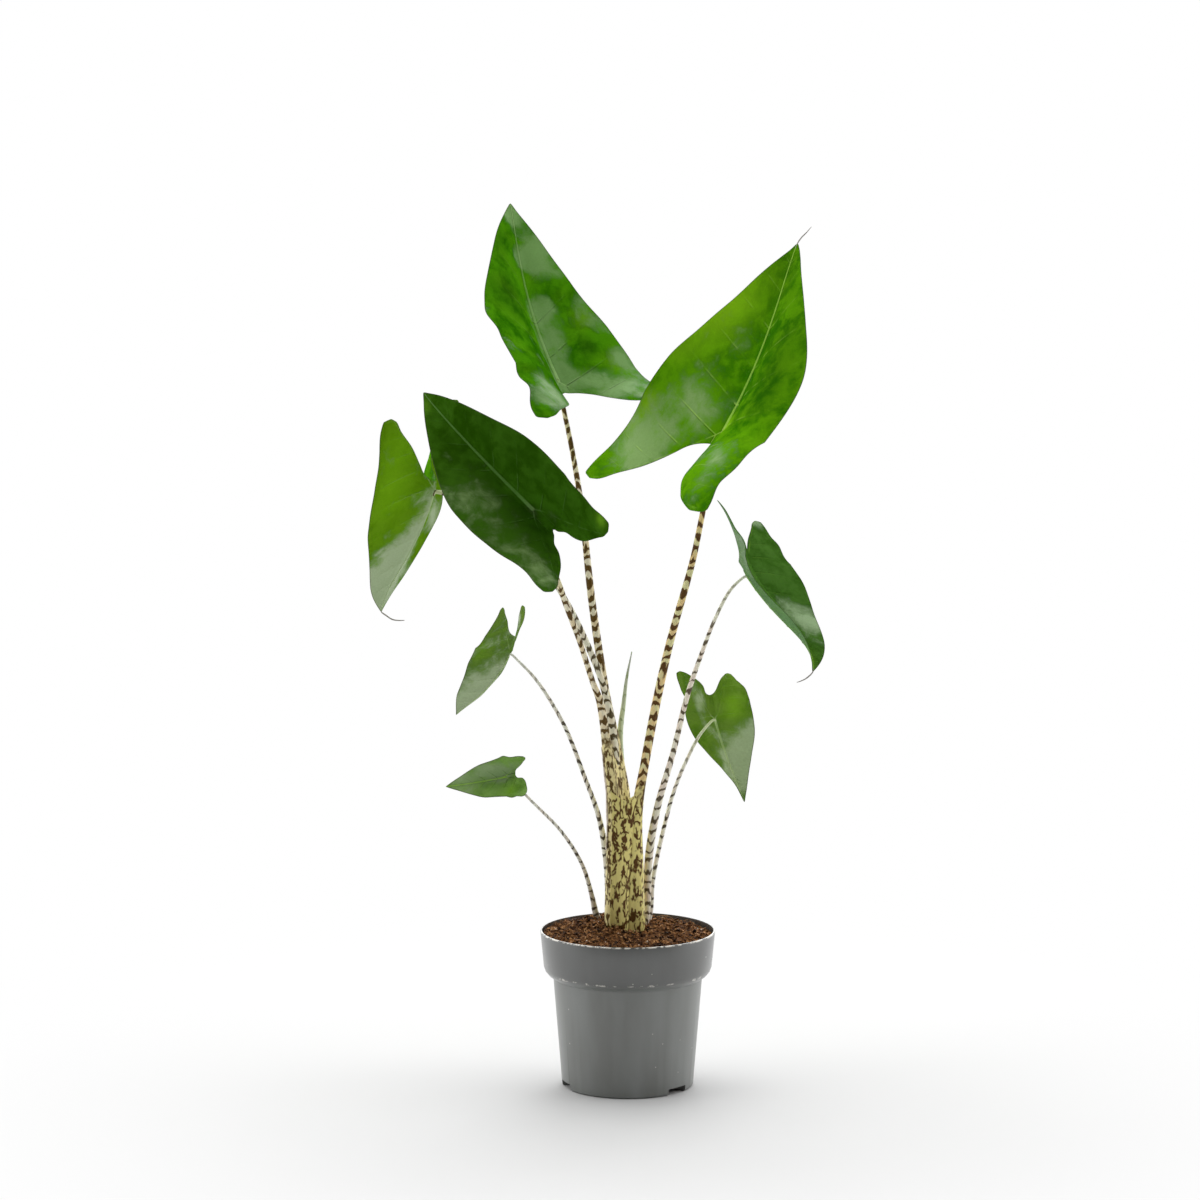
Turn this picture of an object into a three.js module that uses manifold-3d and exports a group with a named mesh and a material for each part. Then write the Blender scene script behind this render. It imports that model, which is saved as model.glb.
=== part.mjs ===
// A potted zebrina alocasia: eight arrow-shaped leaves and one rolled new leaf on banded
// stalks, which rise from a corm in bark soil, in a plastic nursery pot.
// Millimetres, +Z up. The origin is the middle of the pot's foot, on the surface it stands on.
// From the front one looks along +Y, with +X to the right.

import * as THREE from "three";
import { mergeVertices } from "three/addons/utils/BufferGeometryUtils.js";
import Module from "manifold-3d";

const wasm = await Module();
wasm.setup();

// Driving dimensions of the pot
const RIM_RADIUS = 85;
const POT_HEIGHT = 153;
const WALL = 1.5;
const FOOT_RADIUS = 64;
const NECK_RADIUS = 72.5;
const NECK_HEIGHT = 107;
const BAND_BOTTOM_HEIGHT = 118;
const BAND_BOTTOM_RADIUS = 81.8;
const FLOOR_HEIGHT = 5.4;
const CHANNEL_HEIGHT = 3.6;
const CENTRE_PAD_RADIUS = 20;
const FOOT_RING_INNER_RADIUS = 55;
const FOOT_CHAMFER = 1.5;
const CHANNEL_SLOPE = 3;
const BAND_SLOPE_HEIGHT = 3.2;
const BAND_CORNER = { inset: 1.6, height: 6.6 };
const RIM_CORNER = { inset: 0.4, height: 1.2 };
const FLOOR_FILLET = 2;
const POT_SIDES = 54;
const DRAIN_NOTCHES = 3;
const DRAIN_NOTCH_WIDTH = 25;
const DRAIN_NOTCH_DEPTH = 11;
const DRAIN_NOTCH_HEIGHT = 6.6;
const DRAIN_NOTCH_FIRST_ANGLE = -41;

// Driving dimensions of the soil and the corm
const GAP = 0.3;
const SOIL_HEIGHT = 148.2;
const SOIL_RISE_BACK = 0.019;
const SOIL_RISE_LEFT = 0.012;
const MOUND = { x: -14, y: 38, height: 7, spread: 24 };
const SOIL_LUMPS = { height: 1.2, fine: 0.8 };
const SOIL_RINGS = 9;
const SOIL_SIDES = 48;
const CORM_SIDES = [14, 9];
const CORM = { x: -2, y: 30, z: 121, radiusX: 24, radiusY: 20, radiusZ: 17 };

// Half of a blade 200 long, laid flat: [place along the midrib, distance from it]. The stalk
// joins at 0, the tip is at 200 and the end of the lobe at -94.
const PLAN_LENGTH = 200;
const PLAN_LOBE = 94;
const OUTER_MARGIN = [
  [-94, 100], [-90, 108], [-80, 109], [-53, 102], [-16, 94], [19, 89], [55, 79],
  [110, 49], [146, 29], [175, 14], [190, 6], [200, 0.8],
];
// The inner margin of the lobe: [share of the way from sinus to lobe end, distance]
const INNER_MARGIN = [
  [0, 0], [0.04, 10], [0.13, 23], [0.3, 37], [0.57, 56], [0.82, 78], [0.96, 88], [1, 94],
];
const WIDEST = 109;
const OUTER_TRIM_STATIONS = [-1, -0.35, 0.3, 0.75, 1];
const INNER_TRIM_SHARES = [0, 0.4, 1];
const LEAST_WIDTH = 3;
const VALLEY_SHARE = 0.05;
const BLADE_THICKNESS = 0.9;
const KEEL_SHARE = 0.012;
const SPINE_STEPS = 40;
const CROSS_STEPS = 24;
const NORMAL_STEP = { along: 0.002, across: 0.4 };

// Each leaf. attach is where the stalk meets the blade. heading, rise and roll turn the
// blade: the way its midrib sets off round +Z, its climb, and its turn about itself. length,
// lobe and sinus are measured along the midrib, width is the widest half. The rest is how the
// blade bends, in degrees: arch and tipCurl of the midrib, sweep sideways, lobeLift and
// lobeSplit of the two lobes, twist of the blade and the lobes, the fold of each half at lobe
// end, stalk and tip, and the curl of each half for every 100 across. The margin of each half
// waves ahead of the lobes: [millimetres out of the blade, millimetres in its plane, half
// waves, start angle]. The trims are how far the margins of each half stand outside the plan:
// the outer one at the lobe end, the lobe, the middle and near the tip, then the inner one.
const LEAVES = {
  a: {
    attach: [-67, 60, 683], heading: 134, rise: 54, roll: 1,
    length: 198, lobe: 89, sinus: 14, width: 113,
    arch: -15, tipCurl: 10, sweep: -16, lobeLift: 33, lobeSplit: -3, twist: -4, lobeTwist: 17,
    foldLeft: [56, 43, 13], foldRight: [19, 21, 14], curlLeft: -43, curlRight: -24,
    waveLeft: [3.8, -1.4, 2.9, 22], waveRight: [1.2, 0.7, 2.4, 36],
    trimLeft: [4, -2, 6, 4, -11], trimRight: [-1, -3, -3, 1, 1],
  },
  b: {
    attach: [90, -30, 643], heading: 17, rise: 59, roll: 14,
    length: 200, lobe: 100, sinus: 15, width: 133,
    arch: -8, tipCurl: 14, sweep: 23, lobeLift: 8, lobeSplit: -3, twist: 7, lobeTwist: -13,
    foldLeft: [8, 22, 29], foldRight: [70, 41, 15], curlLeft: -13, curlRight: -56,
    waveLeft: [0.4, 0.3, 2.4, 173], waveRight: [3.5, -1.7, 2.1, 87],
    trimLeft: [-1, 0, 2, -1, -4], trimRight: [11, 7, 5, 4, -5],
  },
  c: {
    attach: [-90, -90, 574], heading: 173, rise: 44, roll: -89,
    length: 161, lobe: 85, sinus: 26, width: 82,
    arch: 24, tipCurl: 19, sweep: 0, lobeLift: 16, lobeSplit: -2, twist: -3, lobeTwist: 0,
    foldLeft: [72, 58, 16], foldRight: [59, 46, 19], curlLeft: -8, curlRight: -13,
    waveLeft: [0.8, -0.9, 2.4, 1], waveRight: [1.2, -0.4, 2.6, 107],
    trimLeft: [5, 1, 5, 2, -14], trimRight: [3, 0, 0, 3, -19],
  },
  d: {
    attach: [-188, 20, 580], heading: 139, rise: -70, roll: -26,
    length: 147, lobe: 74, sinus: 10, width: 91,
    arch: -30, tipCurl: 35, sweep: -14, lobeLift: 9, lobeSplit: -15, twist: 16, lobeTwist: -11,
    foldLeft: [28, 35, 23], foldRight: [47, 45, -4], curlLeft: -16, curlRight: -70,
    waveLeft: [0.6, 0.5, 2.4, 151], waveRight: [2.8, -0.6, 2.2, 191],
    trimLeft: [-1, 0, 2, 4, -4], trimRight: [6, 7, 8, 3, 8],
  },
  e: {
    attach: [113, -60, 508], heading: -38, rise: -51, roll: -25,
    length: 119, lobe: 57, sinus: 15, width: 69,
    arch: -29, tipCurl: 73, sweep: -7, lobeLift: -5, lobeSplit: 5, twist: 6, lobeTwist: 1,
    foldLeft: [30, 38, 36], foldRight: [40, 30, 24], curlLeft: -10, curlRight: -56,
    waveLeft: [1.8, 1.0, 2.5, 308], waveRight: [4.1, -0.1, 1.9, 160],
    trimLeft: [1, 4, 4, 7, -1], trimRight: [2, 2, 4, 5, 8],
  },
  f: {
    attach: [86, 70, 350], heading: 52, rise: -67, roll: -20,
    length: 95, lobe: 50, sinus: 25, width: 49,
    arch: 1, tipCurl: 18, sweep: -12, lobeLift: 30, lobeSplit: -5, twist: 3, lobeTwist: 9,
    foldLeft: [50, 36, 17], foldRight: [77, 53, 16], curlLeft: -23, curlRight: -11,
    waveLeft: [2.3, -1.0, 2.2, 186], waveRight: [1.1, -1.2, 2.4, 47],
    trimLeft: [2, 1, 0, -7, -7], trimRight: [0, 2, 2, 1, -2],
  },
  g: {
    attach: [-115, 25, 421], heading: 160, rise: -66, roll: 12,
    length: 87, lobe: 49, sinus: 18, width: 50,
    arch: -43, tipCurl: 21, sweep: 3, lobeLift: 26, lobeSplit: -6, twist: 12, lobeTwist: 7,
    foldLeft: [0, 25, 29], foldRight: [29, 37, 17], curlLeft: -13, curlRight: -44,
    waveLeft: [2.1, 0.9, 2.0, 259], waveRight: [1.0, -0.1, 2.3, 267],
    trimLeft: [0, 2, 2, 7, -1], trimRight: [4, 2, 1, 0, -2],
  },
  h: {
    attach: [-118, -25, 308], heading: 174, rise: -13, roll: -80,
    length: 62, lobe: 31, sinus: 10, width: 30,
    arch: 14, tipCurl: 12, sweep: -6, lobeLift: 19, lobeSplit: 9, twist: -1, lobeTwist: 4,
    foldLeft: [52, 46, 22], foldRight: [60, 49, 23], curlLeft: -12, curlRight: -11,
    waveLeft: [0.8, -0.5, 2.5, 345], waveRight: [1.1, -0.6, 2.4, 2],
    trimLeft: [1, 1, -1, -2, -4], trimRight: [0, 0, -1, 0, 0],
  },
};

// Each stalk from the corm up to its blade: x, y, z and radius. They are listed from the
// middle of the clump outwards, and each gives way to those before it, as sheaths do.
const STALKS = {
  b: [
    [4, 17, 130, 9], [6, 13, 154, 11], [6, 12, 200, 9.8], [9, 10, 268, 5.5],
    [17, 6, 319, 4.2], [28, 2, 379, 4.1], [41, -3, 438, 3.7], [62, -10, 516, 3.1],
    [74, -16, 575, 2.6], [90, -30, 643, 2.2],
  ],
  c: [
    [-9, 24, 130, 8], [-13, 20, 154, 9], [-13, 19, 210, 8.3], [-14, 17, 266, 6.2],
    [-19, 9, 319, 4.6], [-30, -16, 382, 3.9], [-47, -50, 452, 3.7], [-64, -72, 496, 3.3],
    [-78, -85, 534, 2.7], [-90, -90, 574, 2.2],
  ],
  a: [
    [-2, 28, 130, 8], [-2, 28, 151, 9], [-3, 27, 217, 8.7], [-4, 29, 275, 7],
    [-11, 33, 324, 5.5], [-21, 40, 383, 4.3], [-34, 50, 470, 3.9], [-45, 58, 560, 3],
    [-55, 62, 620, 2.5], [-67, 60, 683, 2.2],
  ],
  d: [
    [-5, 36, 128, 7], [-8, 38, 156, 8.5], [-9, 35, 224, 7.5], [-12, 29, 295, 5.6],
    [-20, 20, 352, 4.5], [-33, 12, 412, 3.7], [-56, 4, 473, 3.2], [-90, 0, 520, 2.7],
    [-140, 5, 560, 2.3], [-188, 20, 580, 1.9],
  ],
  e: [
    [12, 31, 126, 4], [18, 33, 160, 3.9], [21, 27, 222, 3.9], [29, 13, 272, 3.4],
    [43, -5, 326, 2.8], [57, -26, 388, 2.5], [70, -40, 430, 2.1], [83, -50, 466, 1.7],
    [98, -57, 495, 1.5], [113, -60, 508, 1.2],
  ],
  g: [
    [-12, 36, 126, 4], [-17, 45, 160, 4], [-20, 45, 208, 3.6], [-28, 43, 256, 2.6],
    [-42, 38, 297, 2.1], [-62, 34, 349, 1.9], [-88, 29, 393, 1.6], [-104, 27, 411, 1.3],
    [-115, 25, 421, 1.1],
  ],
  f: [
    [12, 38, 126, 3], [22, 49, 158, 2.8], [25, 51, 192, 2.3], [35, 55, 240, 2.1],
    [46, 60, 280, 1.9], [58, 64, 309, 1.7], [72, 67, 335, 1.4], [86, 70, 350, 1.2],
  ],
  h: [
    [-15, 36, 124, 3.4], [-30, 47, 156, 3.3], [-35, 43, 178, 2.4], [-44, 32, 210, 1.9],
    [-64, 12, 247, 1.6], [-90, -7, 278, 1.4], [-118, -25, 308, 1.1],
  ],
};
const STALK_SIDES = { a: 12, b: 12, c: 12, d: 12, e: 8, f: 8, g: 8, h: 8 };
const STEPS_PER_SPAN = 2;

// The new leaf, still rolled up, from the corm to its tip
const NEW_LEAF = [
  [0, 38, 130, 4], [0, 41, 160, 4.2], [-1, 42, 215, 3.8], [-4, 42, 264, 3.3], [-6, 42, 303, 3.1],
  [-7, 41, 342, 2.9], [-4, 40, 368, 2.2], [-1, 39, 394, 1.4], [4, 38, 421, 0.5],
];
const NEW_LEAF_SIDES = 8;

// Stations of the faceted blades, from lobe end through the stalk to the tip
const LOBE_STATIONS = [0.985, 0.93, 0.78, 0.55, 0.33, 0.16, 0.06, 0];
const BLADE_STATIONS = [0, 0.08, 0.18, 0.29, 0.41, 0.53, 0.65, 0.76, 0.86, 0.94, 1];
const ACROSS_LARGE = [0, 0.1, 0.34, 0.66, 1];
const ACROSS_SMALL = [0, 0.13, 0.5, 1];
const SMALL_BLADE = 130;

const rad = THREE.MathUtils.degToRad;

// A smooth curve through [place, value] stations, which never overshoots them
function stationCurve(stations) {
  const last = stations.length - 1;
  const step = [];
  const slope = [];
  for (let i = 0; i < last; i++) {
    step.push(stations[i + 1][0] - stations[i][0]);
    slope.push((stations[i + 1][1] - stations[i][1]) / step[i]);
  }
  const tangent = [slope[0]];
  for (let i = 1; i < last; i++) {
    const before = 2 * step[i] + step[i - 1];
    const after = step[i] + 2 * step[i - 1];
    const turns = slope[i - 1] * slope[i] <= 0;
    tangent.push(turns ? 0 : (before + after) / (before / slope[i - 1] + after / slope[i]));
  }
  tangent.push(slope[last - 1]);
  return (place) => {
    const at = THREE.MathUtils.clamp(place, stations[0][0], stations[last][0]);
    let i = 0;
    while (i < last - 1 && at > stations[i + 1][0]) i++;
    const t = (at - stations[i][0]) / step[i];
    const rise = (2 * t ** 3 - 3 * t ** 2 + 1) * stations[i][1];
    const bend = (t ** 3 - 2 * t ** 2 + t) * step[i] * tangent[i];
    const next = (3 * t ** 2 - 2 * t ** 3) * stations[i + 1][1];
    return rise + bend + next + (t ** 3 - t ** 2) * step[i] * tangent[i + 1];
  };
}

// A closed geometry as a solid, for cutting and joining
function toSolid(geometry) {
  const bare = geometry.clone();
  bare.deleteAttribute("normal");
  bare.deleteAttribute("uv");
  const merged = mergeVertices(bare, 1e-4);
  return new wasm.Manifold(new wasm.Mesh({
    numProp: 3,
    vertProperties: new Float32Array(merged.attributes.position.array),
    triVerts: new Uint32Array(merged.index.array),
  }));
}

// A solid as a geometry again: its largest piece alone, so no loose scrap is left
function toGeometry(solid) {
  const pieces = solid.decompose().sort((one, other) => other.volume() - one.volume());
  const mesh = pieces[0].getMesh();
  const geometry = new THREE.BufferGeometry();
  geometry.setAttribute("position", new THREE.BufferAttribute(new Float32Array(mesh.vertProperties), 3));
  geometry.setIndex(new THREE.BufferAttribute(new Uint32Array(mesh.triVerts), 1));
  geometry.computeVertexNormals();
  return geometry;
}

// A shape turned round the Z axis: a profile of [radius, height] that starts and ends on it
function turned(profile, sides) {
  const points = profile.map(([radius, height]) => new THREE.Vector2(radius, height));
  return new THREE.LatheGeometry(points, sides).rotateX(Math.PI / 2);
}

// The pot: a tapered body under a wide band, on a foot ring and a centre pad
function potGeometry() {
  const middle = (BAND_BOTTOM_RADIUS + NECK_RADIUS) / 2;
  const profile = [
    [0, 0], [CENTRE_PAD_RADIUS, 0], [CENTRE_PAD_RADIUS + CHANNEL_SLOPE, CHANNEL_HEIGHT],
    [FOOT_RING_INNER_RADIUS - CHANNEL_SLOPE, CHANNEL_HEIGHT], [FOOT_RING_INNER_RADIUS, 0],
    [FOOT_RADIUS - FOOT_CHAMFER, 0], [FOOT_RADIUS, FOOT_CHAMFER], [NECK_RADIUS, NECK_HEIGHT],
    [middle, NECK_HEIGHT + BAND_SLOPE_HEIGHT],
    [BAND_BOTTOM_RADIUS - BAND_CORNER.inset, NECK_HEIGHT + BAND_CORNER.height],
    [BAND_BOTTOM_RADIUS, BAND_BOTTOM_HEIGHT], [RIM_RADIUS, POT_HEIGHT - RIM_CORNER.height],
    [RIM_RADIUS - RIM_CORNER.inset, POT_HEIGHT], [RIM_RADIUS - WALL, POT_HEIGHT],
    [BAND_BOTTOM_RADIUS - WALL, BAND_BOTTOM_HEIGHT],
    [middle - 1, NECK_HEIGHT + BAND_SLOPE_HEIGHT + WALL],
    [NECK_RADIUS - WALL, NECK_HEIGHT + 1], [FOOT_RADIUS - WALL, FLOOR_HEIGHT + FLOOR_FILLET],
    [FOOT_RADIUS - WALL - FLOOR_FILLET, FLOOR_HEIGHT], [0, FLOOR_HEIGHT],
  ];
  let pot = toSolid(turned(profile, POT_SIDES));
  for (let i = 0; i < DRAIN_NOTCHES; i++) {
    const notch = new THREE.BoxGeometry(2 * DRAIN_NOTCH_DEPTH, DRAIN_NOTCH_WIDTH, 2 * DRAIN_NOTCH_HEIGHT);
    notch.translate(FOOT_RADIUS, 0, 0);
    notch.rotateZ(rad(DRAIN_NOTCH_FIRST_ANGLE + (i * 360) / DRAIN_NOTCHES));
    pot = pot.subtract(toSolid(notch));
  }
  return toGeometry(pot);
}

// Height of the soil: it rises to the back and left and to a mound round the clump, with
// lumps of bark that fade out at its middle and at the wall of the pot
function soilHeight(x, y) {
  const out = Math.hypot(x, y);
  const inner = THREE.MathUtils.smoothstep(out, 4, 22);
  const edge = THREE.MathUtils.smoothstep(out, 64, 82);
  const away = ((x - MOUND.x) ** 2 + (y - MOUND.y) ** 2) / (2 * MOUND.spread ** 2);
  const mound = MOUND.height * Math.exp(-away);
  const lumps = SOIL_LUMPS.height * Math.sin(x / 5.1 + 0.7 * Math.sin(y / 7.3)) * Math.cos(y / 4.7 + 0.4)
    + SOIL_LUMPS.fine * Math.sin(x / 2.9 - y / 3.7 + 1.3);
  return SOIL_HEIGHT + SOIL_RISE_BACK * y - SOIL_RISE_LEFT * x + (mound + lumps * inner) * (1 - edge);
}

// The soil fills the pot up to its rough top
function soilGeometry() {
  const neck = NECK_RADIUS - WALL - 2 * GAP;
  const wide = BAND_BOTTOM_RADIUS - WALL - 2 * GAP;
  const topRadius = wide + ((RIM_RADIUS - BAND_BOTTOM_RADIUS) * (SOIL_HEIGHT - BAND_BOTTOM_HEIGHT))
    / (POT_HEIGHT - BAND_BOTTOM_HEIGHT);
  const profile = [
    [0, FLOOR_HEIGHT + GAP], [FOOT_RADIUS - WALL - 2.6, FLOOR_HEIGHT + GAP],
    [FOOT_RADIUS - WALL - 2 * GAP, FLOOR_HEIGHT + 2.4], [neck, NECK_HEIGHT + 1],
    [wide - 1.5, BAND_BOTTOM_HEIGHT], [topRadius, SOIL_HEIGHT],
  ];
  for (let ring = SOIL_RINGS - 1; ring >= 0; ring--) {
    profile.push([(topRadius * ring) / SOIL_RINGS, SOIL_HEIGHT]);
  }
  const soil = turned(profile, SOIL_SIDES);
  const position = soil.attributes.position;
  for (let i = 0; i < position.count; i++) {
    if (position.getZ(i) < SOIL_HEIGHT - 1) continue;
    position.setZ(i, soilHeight(position.getX(i), position.getY(i)));
  }
  return soil;
}

// A tapered stalk: a cylinder bent along a smooth line of [x, y, z, radius] points
function stalkGeometry(points, sides, extra = 0) {
  const spans = points.length - 1;
  const path = new THREE.CatmullRomCurve3(points.map(([x, y, z]) => new THREE.Vector3(x, y, z)));
  const radiusAt = stationCurve(points.map((point, i) => [i / spans, point[3]]));
  const steps = spans * STEPS_PER_SPAN;
  const stalk = new THREE.CylinderGeometry(1, 1, 1, sides, steps);
  const position = stalk.attributes.position;
  const place = new THREE.Vector3();
  for (let i = 0; i < position.count; i++) {
    const share = THREE.MathUtils.clamp(position.getY(i) + 0.5, 0, 1);
    const along = path.getTangent(share);
    const across = new THREE.Vector3(0, 1, 0).cross(along).normalize();
    const out = new THREE.Vector3().crossVectors(along, across);
    const radius = radiusAt(share) + extra;
    place.copy(path.getPoint(share));
    place.addScaledVector(across, position.getX(i) * radius);
    place.addScaledVector(out, -position.getZ(i) * radius);
    position.setXYZ(i, place.x, place.y, place.z);
  }
  return stalk;
}

const outerMargin = stationCurve(OUTER_MARGIN);
const innerMargin = stationCurve(INNER_MARGIN);

// The bent blade of a leaf, as a function of a place on its flat plan
class Blade {
  constructor(leaf) {
    this.leaf = leaf;
    this.turn = new THREE.Matrix4().makeRotationFromEuler(
      new THREE.Euler(rad(leaf.roll), rad(-leaf.rise), rad(leaf.heading), "ZYX"));
    this.origin = new THREE.Vector3(...leaf.attach);
    this.sinusShare = leaf.sinus / leaf.lobe;
    this.across = leaf.width / WIDEST;
    this.spines = { 1: this.spine(1), "-1": this.spine(-1) };
    this.trims = { 1: this.trim(leaf.trimLeft), "-1": this.trim(leaf.trimRight) };
  }

  // How far the two margins of one half stand outside the plan, along the blade
  trim(offsets) {
    const outer = OUTER_TRIM_STATIONS.map((station, i) => [station, i < 4 ? offsets[i] : 0]);
    const inner = INNER_TRIM_SHARES.map((share, i) => [share, i === 1 ? offsets[4] : 0]);
    return { outer: stationCurve(outer), inner: stationCurve(inner) };
  }

  // Distance of the two margins from the midrib at a station, -1 at the lobe end, 1 at the tip
  margins(station, side) {
    const place = station < 0 ? station * PLAN_LOBE : station * PLAN_LENGTH;
    const share = (-station - this.sinusShare) / (1 - this.sinusShare);
    const trim = this.trims[side];
    const inner = share <= 0 ? 0 : Math.max(innerMargin(share) * this.across + trim.inner(share), 0);
    const outer = outerMargin(place) * this.across + trim.outer(station);
    return [inner, share > 0 ? Math.max(outer, inner + LEAST_WIDTH) : outer];
  }

  // Directions along, across and out of the blade at a station of its midrib
  axes(station, side) {
    const { leaf, sinusShare } = this;
    const front = station > 0;
    const behind = THREE.MathUtils.clamp((-station - sinusShare) / (1 - sinusShare), 0, 1);
    const yaw = front ? leaf.sweep * station : 0;
    const pitch = (front ? leaf.arch * station + leaf.tipCurl * station ** 5 : -leaf.lobeLift * station)
      + side * leaf.lobeSplit * behind;
    const roll = (front ? leaf.twist : leaf.lobeTwist) * station;
    return new THREE.Matrix4().makeRotationFromEuler(
      new THREE.Euler(rad(roll), rad(pitch), rad(yaw), "ZYX"));
  }

  // The midrib and its line back between the lobes, in small straight steps
  spine(side) {
    const { leaf } = this;
    const points = { 0: new THREE.Vector3() };
    for (const way of [1, -1]) {
      const reach = way > 0 ? leaf.length : leaf.lobe;
      for (let i = 1; i <= SPINE_STEPS; i++) {
        const axes = this.axes((way * (i - 0.5)) / SPINE_STEPS, side);
        const along = new THREE.Vector3().setFromMatrixColumn(axes, 0).multiplyScalar(way * reach);
        points[way * i] = points[way * (i - 1)].clone().addScaledVector(along, 1 / SPINE_STEPS);
      }
    }
    return (station) => {
      const at = THREE.MathUtils.clamp(station, -1, 1) * SPINE_STEPS;
      const low = Math.min(Math.floor(at), SPINE_STEPS - 1);
      return points[low].clone().lerp(points[low + 1], at - low);
    };
  }

  fold(station, side) {
    const [lobe, middle, tip] = side > 0 ? this.leaf.foldLeft : this.leaf.foldRight;
    if (station > 0) return middle + (tip - middle) * station;
    return middle + (lobe - middle) * (1 - (1 + station) ** 2);
  }

  // A point of the blade: station along it, distance from the midrib, side 1 or -1
  point(station, distance, side) {
    const { leaf } = this;
    const axes = this.axes(station, side);
    const across = new THREE.Vector3().setFromMatrixColumn(axes, 1);
    const out = new THREE.Vector3().setFromMatrixColumn(axes, 2);
    const fold = rad(this.fold(station, side));
    const curl = rad(side > 0 ? leaf.curlLeft : leaf.curlRight) / 100;
    const valley = VALLEY_SHARE * leaf.length;
    const [height, breadth, halfWaves, start] = side > 0 ? leaf.waveLeft : leaf.waveRight;
    const fade = (distance / leaf.width) ** 2 * THREE.MathUtils.smoothstep(station, -0.75, -0.25);
    const wave = fade * Math.sin(Math.PI * halfWaves * station + rad(start));
    const reach = distance + breadth * wave;
    let flat = -height * wave * Math.sin(fold);
    let high = height * wave * Math.cos(fold);
    for (let i = 0; i < CROSS_STEPS; i++) {
      const at = (reach * (i + 0.5)) / CROSS_STEPS;
      const angle = fold * Math.min(at / valley, 1) + curl * Math.max(at - valley, 0);
      flat += (Math.cos(angle) * reach) / CROSS_STEPS;
      high += (Math.sin(angle) * reach) / CROSS_STEPS;
    }
    const place = this.spines[side](station);
    place.addScaledVector(across, side * flat);
    place.addScaledVector(out, high);
    return place.applyMatrix4(this.turn).add(this.origin);
  }

  // The way out of the upper side at a point
  normal(station, distance, side) {
    const back = Math.max(station - NORMAL_STEP.along, -1);
    const ahead = Math.min(station + NORMAL_STEP.along, 1);
    const along = this.point(ahead, distance, side).sub(this.point(back, distance, side));
    const near = Math.max(distance - NORMAL_STEP.across, 0);
    const far = distance + NORMAL_STEP.across;
    const across = this.point(station, far, side).sub(this.point(station, near, side));
    return along.cross(across).multiplyScalar(side).normalize();
  }
}

// The closed solid of a blade: two halves that share the midrib, with a keel under it
function bladeGeometry(leaf, extra = 0) {
  const blade = new Blade(leaf);
  const shares = leaf.length < SMALL_BLADE ? ACROSS_SMALL : ACROSS_LARGE;
  const sinus = blade.sinusShare;
  const stations = LOBE_STATIONS.map((share) => -(sinus + share * (1 - sinus)));
  stations.push(...BLADE_STATIONS);
  const position = [];
  const index = [];
  const half = BLADE_THICKNESS / 2 + extra;

  // Two points for each place: one on the upper side and one on the underside
  const vertices = (station, share, side) => {
    const [inner, outer] = blade.margins(station, side);
    const distance = inner + (outer - inner) * share;
    const place = blade.point(station, distance, side);
    const normal = blade.normal(station, distance, side);
    const keel = share > 0 || station < -sinus ? 0 : KEEL_SHARE * leaf.length * (1 - Math.max(station, 0));
    const top = place.clone().addScaledVector(normal, half);
    const under = place.clone().addScaledVector(normal, -half - keel);
    position.push(top.x, top.y, top.z, under.x, under.y, under.z);
    return position.length / 3 - 2;
  };
  const face = (one, two, three, four, flip) => {
    if (flip) index.push(one, three, two, one, four, three);
    else index.push(one, two, three, one, three, four);
  };

  const grids = {};
  for (const side of [1, -1]) {
    grids[side] = stations.map((station, i) => shares.map((share, j) => {
      const shared = side < 0 && j === 0 && station >= -sinus - 1e-9;
      return shared ? grids[1][i][0] : vertices(station, share, side);
    }));
  }
  for (const side of [1, -1]) {
    const grid = grids[side];
    const flip = side < 0;
    const lastRow = stations.length - 1;
    const lastColumn = shares.length - 1;
    for (let i = 0; i < lastRow; i++) {
      for (let j = 0; j < lastColumn; j++) {
        const [p, q, r, s] = [grid[i][j], grid[i + 1][j], grid[i + 1][j + 1], grid[i][j + 1]];
        face(p, q, r, s, flip);
        face(p + 1, q + 1, r + 1, s + 1, !flip);
      }
      const [m, n] = [grid[i][lastColumn], grid[i + 1][lastColumn]];
      face(m, n, n + 1, m + 1, flip);
      if (stations[i + 1] <= -sinus + 1e-9) {
        const [u, v] = [grid[i][0], grid[i + 1][0]];
        face(u, v, v + 1, u + 1, !flip);
      }
    }
    for (let j = 0; j < lastColumn; j++) {
      const [a, b] = [grid[0][j], grid[0][j + 1]];
      face(a, b, b + 1, a + 1, flip);
      const [c, d] = [grid[lastRow][j], grid[lastRow][j + 1]];
      face(c, d, d + 1, c + 1, !flip);
    }
  }
  const geometry = new THREE.BufferGeometry();
  geometry.setAttribute("position", new THREE.Float32BufferAttribute(position, 3));
  geometry.setIndex(index);
  return geometry;
}

function cormGeometry(extra = 0) {
  const corm = new THREE.SphereGeometry(1, ...CORM_SIDES);
  corm.rotateX(Math.PI / 2);
  corm.scale(CORM.radiusX + extra, CORM.radiusY + extra, CORM.radiusZ + extra);
  corm.translate(CORM.x, CORM.y, CORM.z);
  return corm;
}

// Materials, one for each surface
const finish = (color, roughness) => new THREE.MeshStandardMaterial({ color, roughness, metalness: 0 });
const MATERIALS = {
  pot: finish(0x6b6f69, 0.55),
  soil: finish(0x4a3423, 0.95),
  corm: finish(0x7a5a3c, 0.9),
  stalk: finish(0xb5aa7c, 0.6),
  blade: finish(0x3f6a22, 0.4),
  newLeaf: finish(0x9fb183, 0.5),
};

const plant = new THREE.Group();
function add(name, geometry, material) {
  const mesh = new THREE.Mesh(geometry, material);
  mesh.name = name;
  plant.add(mesh);
}

// The pot, and the corm that all the stalks grow from
add("pot", potGeometry(), MATERIALS.pot);
add("corm", toGeometry(toSolid(cormGeometry())), MATERIALS.corm);

// The blades
for (const [name, leaf] of Object.entries(LEAVES)) {
  add(`blade_${name}`, toGeometry(toSolid(bladeGeometry(leaf))), MATERIALS.blade);
}

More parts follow.
